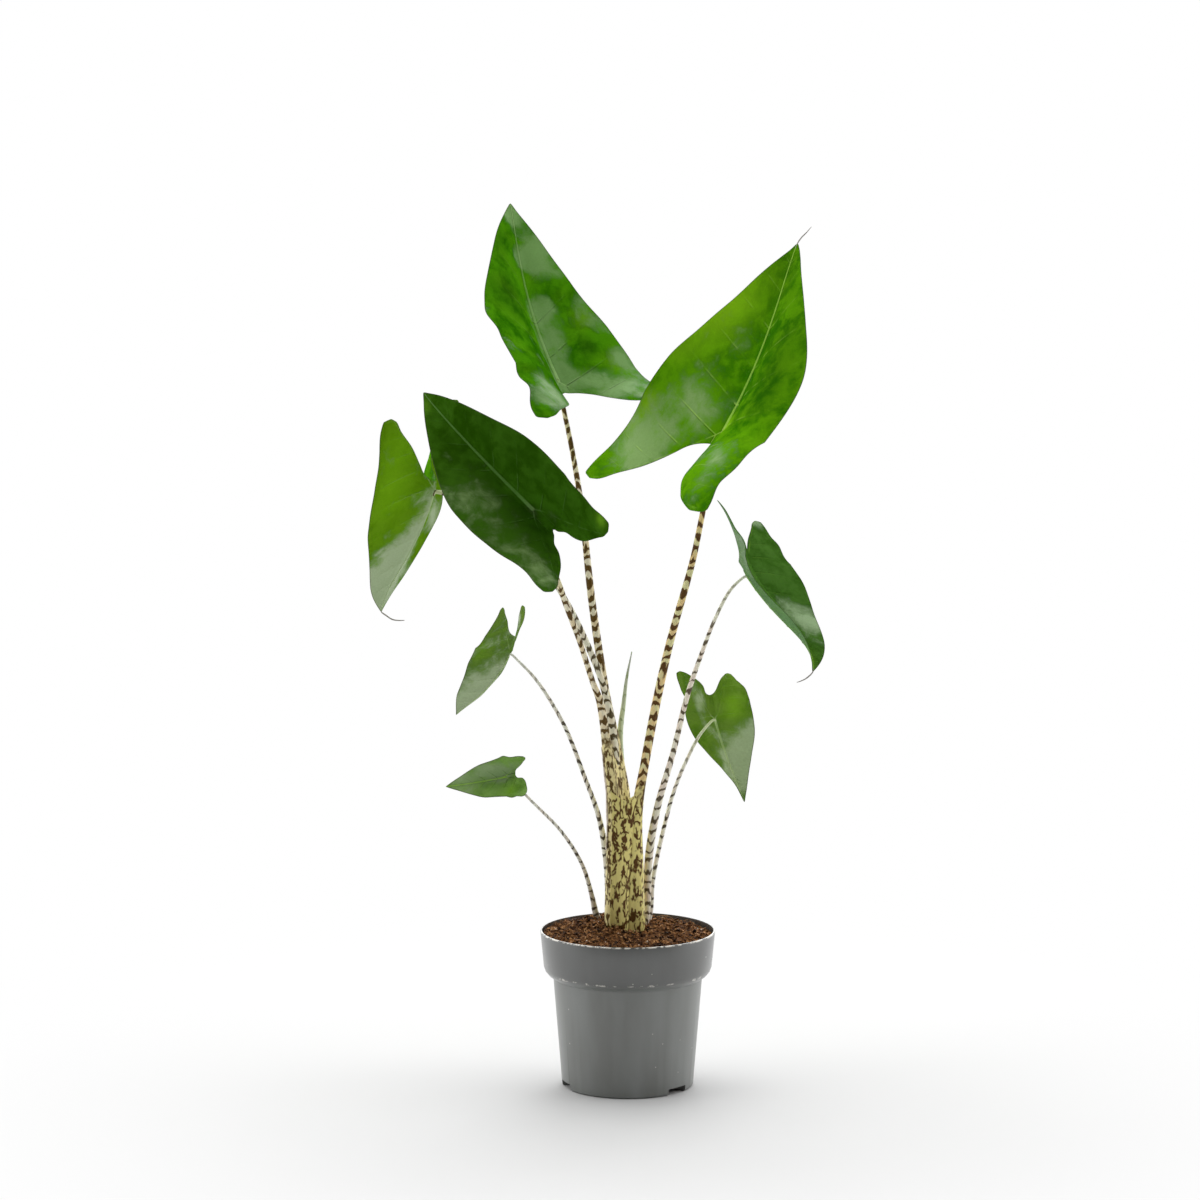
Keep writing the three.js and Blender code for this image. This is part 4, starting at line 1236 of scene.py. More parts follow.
@dataclass
class Stalk:
    """A stalk: from the corm up to its blade."""

    name: str
    points: Points
    skin: PetioleSkin
    sides: int = 32
    pitch: float = 2.5
    sheath: tuple["Sheath", ...] = ()
    webs: tuple["Web", ...] = ()
    flutes: float = 0.035

    def build(self, leaf: Leaf) -> Piece:
        """Make the stalk with the sheaths that stand on it.

        Args:
            leaf: The leaf that it bears.

        Returns:
            The finished piece.
        """
        route = Route((*self.points[:-1], *leaf.footing(self.points[-1][3])))
        stalk = route.tube(f"stalk_{self.name}_skin", self.sides, self.pitch, self.flutes)
        stalk.data.materials.append(self.skin.make())
        wraps = [sheath.wrap(route, f"sheath_{self.name}_{i}") for i, sheath in enumerate(self.sheath)]
        wraps += [web.stretch(route, f"web_{self.name}_{i}") for i, web in enumerate(self.webs)]
        for wrap in wraps:
            if not wrap.data.materials:
                wrap.data.materials.append(stalk.data.materials[0])
        stalk = join([stalk, *wraps])
        smooth(stalk, 60)
        settle(stalk, Slot.STALK, f"stalk_{self.name}")
        return stalk


@dataclass(frozen=True)
class Sheath:
    """The winged foot of a stalk, a thin shell that wraps it and ends in a point.

    It covers the stalk from one height to another, and from one bearing to another, where 0
    is to the right and 90 to the back.
    """

    foot: float
    top: float
    start: float
    end: float
    lift: float = 0.7
    thickness: float = 0.9
    point: float = 0.35
    finish: PetioleSkin | None = None

    def wrap(self, route: Route, name: str) -> Piece:
        """Lay the shell round a stalk.

        Args:
            route: The stalk's line.
            name: Name of the new piece.

        Returns:
            The closed shell.
        """
        rows, columns = 44, 20
        shell = flat_sheet(name, columns, rows)
        grid = places(shell)
        up = grid[:, 1] + 0.5
        over = grid[:, 0] + 0.5
        length = self.foot + (self.top - self.foot) * up
        narrow = 1 - smooth_step(up, 1 - self.point, 1.0) ** 1.5 * 0.94
        middle = (self.start + self.end) / 2
        angle = np.radians(middle + (self.start - self.end) * (0.5 - over) * -narrow)
        centre, _, across, back = route.frames(length)
        share = np.interp(length, route.lengths, route.shares)
        flare = 1.2 * np.abs(2 * over - 1) ** 4 * (1 - up)
        radius = route.radius(share) + self.lift + flare + 0.25 * np.sin(up * 17 + over * 3)
        round_ = across * np.cos(angle)[:, None] + back * np.sin(angle)[:, None]
        put(shell, (centre + round_ * radius[:, None]) * MM)
        flat = route.radius(share)
        note(shell, "skin", np.stack([flat * np.cos(angle), flat * np.sin(angle), length], -1))
        weld(shell)
        fix(shell, "SOLIDIFY", thickness=self.thickness * MM, offset=1.0, use_rim=True)
        fix(shell, "BEVEL", width=0.3 * MM, segments=2, limit_method="ANGLE", angle_limit=0.9)
        if self.finish:
            shell.data.materials.append(self.finish.make())
        return shell


@dataclass(frozen=True)
class Web:
    """A web of sheath that joins the front of a stalk to the front of its neighbour.

    It reaches from one height to another, where its upper edge hangs in a notch. root is the
    height from which the pattern on it is measured.
    """

    other: Points
    low: float
    high: float
    notch: float = 9.0
    sag: float = 0.14
    thickness: float = 0.8
    root: float = 130.0

    def stretch(self, route: Route, name: str) -> Piece:
        """Stretch the web between the two stalks.

        Args:
            route: Line of the stalk that carries it.
            name: Name of the new piece.

        Returns:
            The closed web.
        """
        rows, columns = 60, 16
        web = flat_sheet(name, columns, rows)
        grid = places(web)
        over = grid[:, 0] + 0.5
        height = self.low + (self.high - self.low) * (grid[:, 1] + 0.5)
        height -= self.notch * (grid[:, 1] + 0.5) ** 4 * (1 - np.abs(2 * over - 1) ** 1.5)
        ends = []
        for line in (route, Route(self.other)):
            samples = np.linspace(0, line.length, 400)
            middle = line.frames(samples)[0]
            length = np.interp(height, middle[:, 2], samples)
            share = np.interp(length, line.lengths, line.shares)
            ends.append((line.at(share)[:, :2], line.radius(share)))
        (first, thick), (second, thin) = ends
        gap = second - first
        apart = np.linalg.norm(gap, axis=1)
        lean = np.clip((thick - thin) / apart, -0.95, 0.95)
        gap /= apart[:, None]
        side = np.stack([gap[:, 1], -gap[:, 0]], -1) * np.where(gap[:, :1] > 0, 1, -1)
        way = gap * lean[:, None] + side * np.sqrt(1 - lean**2)[:, None]
        start, end = first + way * thick[:, None], second + way * thin[:, None]
        flat = start + (end - start) * over[:, None]
        flat -= way * (self.sag * apart * 4 * over * (1 - over) - 0.35)[:, None]
        shape = np.column_stack([flat, height])
        put(web, shape * MM)
        note(web, "skin", np.column_stack([flat, height - self.root]))
        weld(web)
        fix(web, "SOLIDIFY", thickness=self.thickness * MM, offset=-1.0, use_rim=True)
        fix(web, "BEVEL", width=0.25 * MM, segments=2, limit_method="ANGLE", angle_limit=0.9)
        return web


@dataclass
class NewLeaf:
    """The newest leaf, still rolled up into a spear."""

    points: Points
    skin: PetioleSkin
    wraps: float = 1.6

    def build(self) -> Piece:
        """Make the spear with the free edge that winds up it."""
        route = Route(self.points)
        spear = route.tube("new_leaf_spear", sides=28, pitch=2.0)
        points = places(spear) / MM
        skin = np.empty(len(points) * 3, dtype=np.float32)
        spear.data.attributes["skin"].data.foreach_get("vector", skin)
        skin = skin.reshape(-1, 3)
        centre, _, across, back = route.frames(skin[:, 2])
        offset = points - centre
        angle = np.arctan2((offset * back).sum(1), (offset * across).sum(1))
        turn = (angle / (2 * math.pi) + self.wraps * skin[:, 2] / route.length) % 1.0
        put(spear, (centre + offset * (0.86 + 0.22 * turn)[:, None]) * MM)
        spear.data.materials.append(self.skin.make())
        smooth(spear, 60)
        settle(spear, Slot.NEW_LEAF, "new_leaf")
        return spear


# The pot and what fills it


@dataclass
class NurseryPot:
    """The nursery pot: a tapered body under a wide band, with drain notches in its foot."""

    rim: float = 85.0
    height: float = 153.0
    wall: float = 1.5
    foot: float = 64.0
    neck: float = 72.5
    neck_height: float = 107.0
    band: float = 81.8
    band_height: float = 118.0
    floor: float = 5.4
    channel: float = 3.6
    pad: float = 20.0
    ring: float = 55.0
    notches: int = 3
    notch_width: float = 25.0
    notch_depth: float = 11.0
    notch_height: float = 6.6
    first_notch: float = -41.0
    sides: int = 144
    finish: MouldedPolypropylene = MouldedPolypropylene()

    def profile(self) -> list[tuple[float, float]]:
        """List the radius and height of the wall's outline, from the floor's middle outwards."""
        slant = (self.band + self.neck) / 2
        w = self.wall
        return [
            (0, 0), (self.pad, 0), (self.pad + 3, self.channel), (self.ring - 3, self.channel),
            (self.ring, 0), (self.foot - 1.5, 0), (self.foot, 1.5), (self.neck, self.neck_height),
            (slant, self.neck_height + 3.2), (self.band - 1.6, self.neck_height + 6.6),
            (self.band, self.band_height), (self.rim, self.height - 1.2),
            (self.rim - 0.4, self.height), (self.rim - w, self.height),
            (self.band - w, self.band_height), (slant - 1, self.neck_height + 5),
            (self.neck - w, self.neck_height + 1), (self.foot - w, self.floor + 2),
            (self.foot - w - 2, self.floor), (0, self.floor),
        ]

    def build(self) -> Piece:
        """Spin the pot, cut its notches and soften its edges."""
        outline = self.profile()
        bpy.ops.object.select_all(action="DESELECT")
        bpy.ops.mesh.primitive_plane_add(size=MM)
        pot = bpy.context.active_object
        pot.name = pot.data.name = "nursery_pot"
        bpy.ops.object.mode_set(mode="EDIT")
        bpy.ops.mesh.select_all(action="SELECT")
        bpy.ops.mesh.merge(type="CENTER")
        radius, height = outline[0]
        for next_radius, next_height in outline[1:]:
            step = ((next_radius - radius) * MM, 0, (next_height - height) * MM)
            bpy.ops.mesh.extrude_region_move(TRANSFORM_OT_translate={"value": step})
            radius, height = next_radius, next_height
        bpy.ops.mesh.select_all(action="SELECT")
        bpy.ops.mesh.spin(steps=self.sides, angle=2 * math.pi, center=(0, 0, 0), axis=(0, 0, 1))
        bpy.ops.object.mode_set(mode="OBJECT")
        weld(pot, 1e-5)
        for i in range(self.notches):
            self.cut_notch(pot, self.first_notch + i * 360 / self.notches)
        fix(pot, "BEVEL", width=0.45 * MM, segments=3, limit_method="ANGLE", angle_limit=0.45,
            use_clamp_overlap=True)
        pot.data.materials.clear()
        pot.data.materials.append(self.finish.make())
        smooth(pot, 35)
        settle(pot, Slot.POT, "pot")
        return pot

    def cut_notch(self, pot: Piece, bearing: float) -> None:
        """Cut one drain notch out of the foot.

        Args:
            pot: The pot.
            bearing: Degrees round the pot from its right.
        """
        bpy.ops.object.select_all(action="DESELECT")
        bpy.ops.mesh.primitive_cube_add(size=1)
        cutter = bpy.context.active_object
        size = Vector((2 * self.notch_depth, self.notch_width, 2 * self.notch_height)) * MM
        turn = Matrix.Rotation(math.radians(bearing), 4, "Z")
        move = Matrix.Translation((self.foot * MM, 0, 0))
        cutter.data.transform(turn @ move @ Matrix.Diagonal((*size, 1)))
        fix(cutter, "BEVEL", width=1.2 * MM, segments=3, limit_method="ANGLE")
        fix(pot, "BOOLEAN", operation="DIFFERENCE", solver="EXACT", object=cutter)
        bpy.data.objects.remove(cutter)


@dataclass
class PottingSoil:
    """The soil: a rough mound of bark crumbs that fills the pot, with loose pieces on top.

    walls is the radius and height of each ring below the top. Loose pieces fall within the scatter
    radius. Those that would touch the rim, or stand above it near the edge, are left out.
    """

    level: float = 148.2
    rise_back: float = 0.019
    rise_left: float = 0.012
    mound: tuple[float, float, float, float] = (-14.0, 38.0, 7.0, 24.0)
    top_radius: float = 82.1
    walls: tuple[tuple[float, float], ...] = ((78.5, 118.0), (70.4, 108.0), (61.9, 7.8), (59.9, 5.7))
    scatter_radius: float = 80.0
    inside_rim: float = 81.8
    edge_radius: float = 70.0
    edge_height: float = 156.0
    pitch: float = 1.15
    chips: int = 1500
    fibres: int = 420
    grains: int = 34
    seed: int = 7
    finish: BarkSoil = BarkSoil("damp_bark_soil", "28170a", "684322", "a57644", 4.0)
    chip_finish: BarkSoil = BarkSoil("bark_chips", "2c190b", "784c28", "bc8c58", 2.6, 0.7)
    fibre_finish: BarkSoil = BarkSoil("coir_fibre", "4a2c18", "94663e", "c4986a", 2.0, 0.7)
    grain_finish: BarkSoil = BarkSoil("perlite_grains", "b8b0a2", "ded9d0", "f2efe9", 2.0, 0.9)

    def heights(self, x: Array, y: Array) -> Array:
        """Give the height of the soil's upper side, lumps and crumbs included."""
        out = np.hypot(x, y)
        inner = smooth_step(out, 4, 22)
        edge = smooth_step(out, 64, 82)
        mx, my, high, spread = self.mound
        mound = high * np.exp(-((x - mx) ** 2 + (y - my) ** 2) / (2 * spread**2))
        lumps = 1.2 * np.sin(x / 5.1 + 0.7 * np.sin(y / 7.3)) * np.cos(y / 4.7 + 0.4)
        lumps += 0.8 * np.sin(x / 2.9 - y / 3.7 + 1.3)
        level = self.level + self.rise_back * y - self.rise_left * x
        return level + (mound + lumps * inner) * (1 - edge)

    def body(self) -> Piece:
        """Make the soil itself: a round sheet with a rough top, drawn down to the pot's floor."""
        count = int(2 * self.top_radius / self.pitch)
        soil = flat_sheet("potting_soil", count, count)
        grid = places(soil) * 2
        x, y = grid[:, 0], grid[:, 1]
        disc_x, disc_y = x * np.sqrt(1 - y * y / 2), y * np.sqrt(1 - x * x / 2)
        disc_x, disc_y = disc_x * self.top_radius, disc_y * self.top_radius
        crumbs = np.array([
            1.5 * noise.noise(Vector((a / 3.1, b / 3.1, 0.0)))
            + 1.0 * noise.noise(Vector((a / 1.3, b / 1.3, 4.0)))
            + 0.9 * abs(noise.noise(Vector((a / 6.0, b / 6.0, 9.0))))
            for a, b in zip(disc_x, disc_y)
        ])
        high = self.heights(disc_x, disc_y) + crumbs * (1 - smooth_step(np.hypot(x, y), 0.99, 1.3))
        put(soil, np.stack([disc_x, disc_y, high], -1) * MM)
        only(soil)
        bpy.ops.object.mode_set(mode="EDIT")
        bpy.ops.mesh.select_all(action="SELECT")
        bpy.ops.mesh.region_to_loop()
        for radius, height in self.walls:
            bpy.ops.mesh.extrude_region_move()
            bpy.ops.object.mode_set(mode="OBJECT")
            self.draw_in(soil, radius, height)
            bpy.ops.object.mode_set(mode="EDIT")
        bpy.ops.mesh.edge_face_add()
        bpy.ops.object.mode_set(mode="OBJECT")
        weld(soil)
        soil.data.materials.append(self.finish.make())
        smooth(soil, 70)
        settle(soil, Slot.SOIL, "soil")
        return soil

    def draw_in(self, soil: Piece, radius: float, height: float) -> None:
        """Move the selected ring of vertices to a radius and a height."""
        for vertex in soil.data.vertices:
            if vertex.select:
                way = Vector((vertex.co.x, vertex.co.y)).normalized() * radius * MM
                vertex.co = (way.x, way.y, height * MM)

    def scatter(self, name: str, pattern: Array, faces: list[list[int]], count: int,
                size: tuple[float, float], finish: BarkSoil, lying: float) -> Piece:
        """Copy one small shape many times over the soil.

        Args:
            name: Name of the new piece.
            pattern: Vertices of the shape, about one unit long.
            faces: Its faces.
            count: How many copies.
            size: Smallest and largest size.
            finish: Their material.
            lying: How flat they lie, from 0 to 1.

        Returns:
            One piece that holds all the copies.
        """
        stream = random.Random(self.seed + count)
        points, corners, tones = [], [], []
        for _ in range(count):
            bearing = stream.uniform(0, 2 * math.pi)
            out = self.scatter_radius * math.sqrt(stream.uniform(0.0, 1.0))
            x, y = out * math.cos(bearing), out * math.sin(bearing)
            scale = stream.uniform(*size) * (0.7 + 0.6 * stream.random() ** 3)
            tip = [stream.gauss(0, 1.2 * (1 - lying)) for _ in range(2)]
            turn = Matrix.Rotation(stream.uniform(0, 6.3), 3, "Z")
            turn = Matrix.Rotation(tip[0], 3, "X") @ Matrix.Rotation(tip[1], 3, "Y") @ turn
            stretch = np.array([scale * stream.uniform(0.8, 1.3), scale * stream.uniform(0.6, 1.1), scale])
            z = float(self.heights(np.array([x]), np.array([y]))[0]) + 0.5 + 0.2 * scale
            copy = (pattern * stretch) @ np.array(turn).T + np.array([x, y, z])
            reach = np.hypot(copy[:, 0], copy[:, 1]).max()
            sticks_up = copy[:, 2].max() > self.edge_height and out > self.edge_radius
            if reach > self.inside_rim or sticks_up:
                continue
            start = len(points) * len(pattern)
            points.append(copy)
            corners.extend([[start + k for k in face] for face in faces])
            tones.append(np.full(len(pattern), stream.uniform(-0.5, 0.5)))
        mesh = bpy.data.meshes.new(name)
        mesh.from_pydata((np.concatenate(points) * MM).tolist(), [], corners)
        piece = bpy.data.objects.new(name, mesh)
        bpy.context.scene.collection.objects.link(piece)
        layer = mesh.attributes.new("tone", "FLOAT", "POINT")
        layer.data.foreach_set("value", np.concatenate(tones).astype(np.float32))
        mesh.materials.append(finish.make())
        settle(piece, Slot.SOIL)
        return piece

    def chip(self) -> tuple[Array, list[list[int]]]:
        """Model one chip of bark: a cube cut into, bevelled and roughened."""
        bpy.ops.object.select_all(action="DESELECT")
        bpy.ops.mesh.primitive_cube_add(size=1)
        chip = bpy.context.active_object
        fix(chip, "BEVEL", width=0.16, segments=1, affect="EDGES")
        stream = random.Random(self.seed)
        points = places(chip) * np.array([1.0, 0.62, 0.34])
        points += np.array([[stream.uniform(-0.09, 0.09) for _ in range(3)] for _ in points])
        faces = [list(face.vertices) for face in chip.data.polygons]
        bpy.data.objects.remove(chip)
        return points, faces

    def fibre(self) -> tuple[Array, list[list[int]]]:
        """Model one strand of coir: a thin prism drawn along a wavy line."""
        steps, sides = 9, 3
        bpy.ops.object.select_all(action="DESELECT")
        bpy.ops.mesh.primitive_cylinder_add(vertices=sides, radius=0.022, depth=1.0, end_fill_type="NGON")
        strand = bpy.context.active_object
        bpy.ops.object.mode_set(mode="EDIT")
        bpy.ops.mesh.select_all(action="SELECT")
        bpy.ops.mesh.bisect(plane_co=(0, 0, 0), plane_no=(0, 0, 1))
        for i in range(1, steps):
            bpy.ops.mesh.select_all(action="SELECT")
            bpy.ops.mesh.bisect(plane_co=(0, 0, i / steps - 0.5), plane_no=(0, 0, 1))
        bpy.ops.object.mode_set(mode="OBJECT")
        points = places(strand)
        t = points[:, 2]
        bent = np.stack([t, points[:, 0] + 0.16 * np.sin(t * 5) + 0.05 * np.sin(t * 13),
                         points[:, 1] + 0.12 * np.cos(t * 4) - 0.08], -1)
        faces = [list(face.vertices) for face in strand.data.polygons]
        bpy.data.objects.remove(strand)
        return bent, faces

    def grain(self) -> tuple[Array, list[list[int]]]:
        """Model one grain of perlite: a small lumpy ball."""
        bpy.ops.object.select_all(action="DESELECT")
        bpy.ops.mesh.primitive_ico_sphere_add(subdivisions=2, radius=0.5)
        grain = bpy.context.active_object
        points = places(grain)
        lumps = np.array([0.25 * noise.noise(Vector(p) * 4) for p in points])
        faces = [list(face.vertices) for face in grain.data.polygons]
        bpy.data.objects.remove(grain)
        return points * (1 + lumps)[:, None], faces

    def build(self) -> None:
        """Make the soil and everything loose on it."""
        self.body()
        points, faces = self.chip()
        self.scatter("bark_chips", points, faces, self.chips, (1.6, 5.2), self.chip_finish, 0.62)
        points, faces = self.fibre()
        self.scatter("coir_fibres", points, faces, self.fibres, (6.0, 15.0), self.fibre_finish, 0.8)
        points, faces = self.grain()
        self.scatter("perlite_grains", points, faces, self.grains, (0.9, 2.1), self.grain_finish, 0.3)


# The studio


@dataclass
class Studio:
    """A white floor, a white surround and large soft lamps, with the camera.

    Each lamp is a name, a place, what it points at, its side and its power.
    """

    eye: Place = (-27.0, -4000.0, 996.0)
    looks_down: float = 7.4
    lens: float = 125.64
    sensor: float = 36.0
    floor_size: float = 12.0
    floor: WhitePaint = WhitePaint()
    bright: Place = (0.0, 0.95, 0.3)
    lit: float = 1.8
    dim: float = 0.04
    lamps: tuple[tuple[str, Place, Place, float, float], ...] = (
        ("lamp_over", (-0.3, 0.6, 2.5), (0, 0, 0.4), 1.6, 18.0),
        ("lamp_left", (-2.4, -0.6, 1.4), (0, 0, 0.45), 1.4, 12.0),
        ("lamp_right", (2.4, -0.1, 1.3), (0, 0, 0.45), 1.4, 11.0),
        ("lamp_back", (0.4, 2.3, 1.9), (0, 0, 0.5), 1.5, 25.0),
    )

    def camera(self) -> None:
        """Place the camera."""
        lens = bpy.data.cameras.new("camera")
        lens.lens, lens.sensor_width, lens.sensor_fit = self.lens, self.sensor, "HORIZONTAL"
        lens.clip_start, lens.clip_end = 0.1, 50.0
        camera = bpy.data.objects.new("camera", lens)
        camera.location = [part * MM for part in self.eye]
        camera.rotation_euler = (math.radians(90 - self.looks_down), 0, 0)
        bpy.context.scene.collection.objects.link(camera)
        bpy.context.scene.camera = camera

    def lamp(self, name: str, place: Place, target: Place, size: float, power: float) -> None:
        """Hang one square soft lamp.

        Args:
            name: Its name.
            place: Where it hangs, in metres.
            target: What it points at, in metres.
            size: Its side, in metres.
            power: Its power in watts.
        """
        light = bpy.data.lights.new(name, "AREA")
        light.shape, light.size, light.energy = "SQUARE", size, power
        lamp = bpy.data.objects.new(name, light)
        lamp.location = place
        aim = Vector(target) - Vector(place)
        lamp.rotation_euler = aim.to_track_quat("-Z", "Y").to_euler()
        bpy.context.scene.collection.objects.link(lamp)

    def surround(self) -> None:
        """Light the studio: white behind and above the plant, dim on the camera's side."""
        world = bpy.data.worlds.new("studio")
        bpy.context.scene.world = world
        world.use_nodes = True
        tree = world.node_tree
        tree.nodes.clear()
        way = tree.nodes.new("ShaderNodeTexCoord")
        aim = tree.nodes.new("ShaderNodeVectorMath")
        aim.operation = "DOT_PRODUCT"
        aim.inputs[1].default_value = self.bright
        ramp = tree.nodes.new("ShaderNodeMapRange")
        ramp.interpolation_type = "SMOOTHSTEP"
        ramp.inputs[1].default_value, ramp.inputs[2].default_value = -0.8, 0.7
        ramp.inputs[3].default_value, ramp.inputs[4].default_value = self.dim, self.lit
        ray = tree.nodes.new("ShaderNodeLightPath")
        seen = tree.nodes.new("ShaderNodeMix")
        seen.inputs[3].default_value = 1.0
        glow = tree.nodes.new("ShaderNodeBackground")
        glow.inputs["Color"].default_value = (1.0, 1.0, 1.0, 1.0)
        out = tree.nodes.new("ShaderNodeOutputWorld")
        tree.links.new(way.outputs["Generated"], aim.inputs[0])
        tree.links.new(aim.outputs["Value"], ramp.inputs[0])
        tree.links.new(ramp.outputs[0], seen.inputs[2])
        tree.links.new(ray.outputs["Is Camera Ray"], seen.inputs[0])
        tree.links.new(seen.outputs[0], glow.inputs["Strength"])
        tree.links.new(glow.outputs[0], out.inputs[0])

    def build(self) -> None:
        """Make the floor, the lamps and the camera."""
        floor = flat_sheet("floor", 4, 4)
        put(floor, places(floor) * self.floor_size)
        floor.data.materials.append(self.floor.make())
        self.camera()
        self.surround()
        for lamp in self.lamps:
            self.lamp(*lamp)
        bpy.context.scene.view_settings.view_transform = "Standard"


# The finishes and shapes of this plant


def upper_skin(name: str, deep: str, fresh: str, **rest: Any) -> LeafSkin:
    """Give the finish of the upper side of a leaf."""
    return LeafSkin(f"leaf_upper_{name}", deep, fresh, **rest)


def under_skin(name: str, deep: str, fresh: str, **rest: Any) -> LeafSkin:
    """Give the finish of the underside of a leaf: paler and duller, with more painted sheen, its veins
    without painted shade in their creases.
    """
    usual = {"vein_strength": 0.3, "crease_shade": 0.0, "roughness": 0.52, "dusty": 0.25}
    return LeafSkin(f"leaf_under_{name}", deep, fresh, **{**usual, **rest})


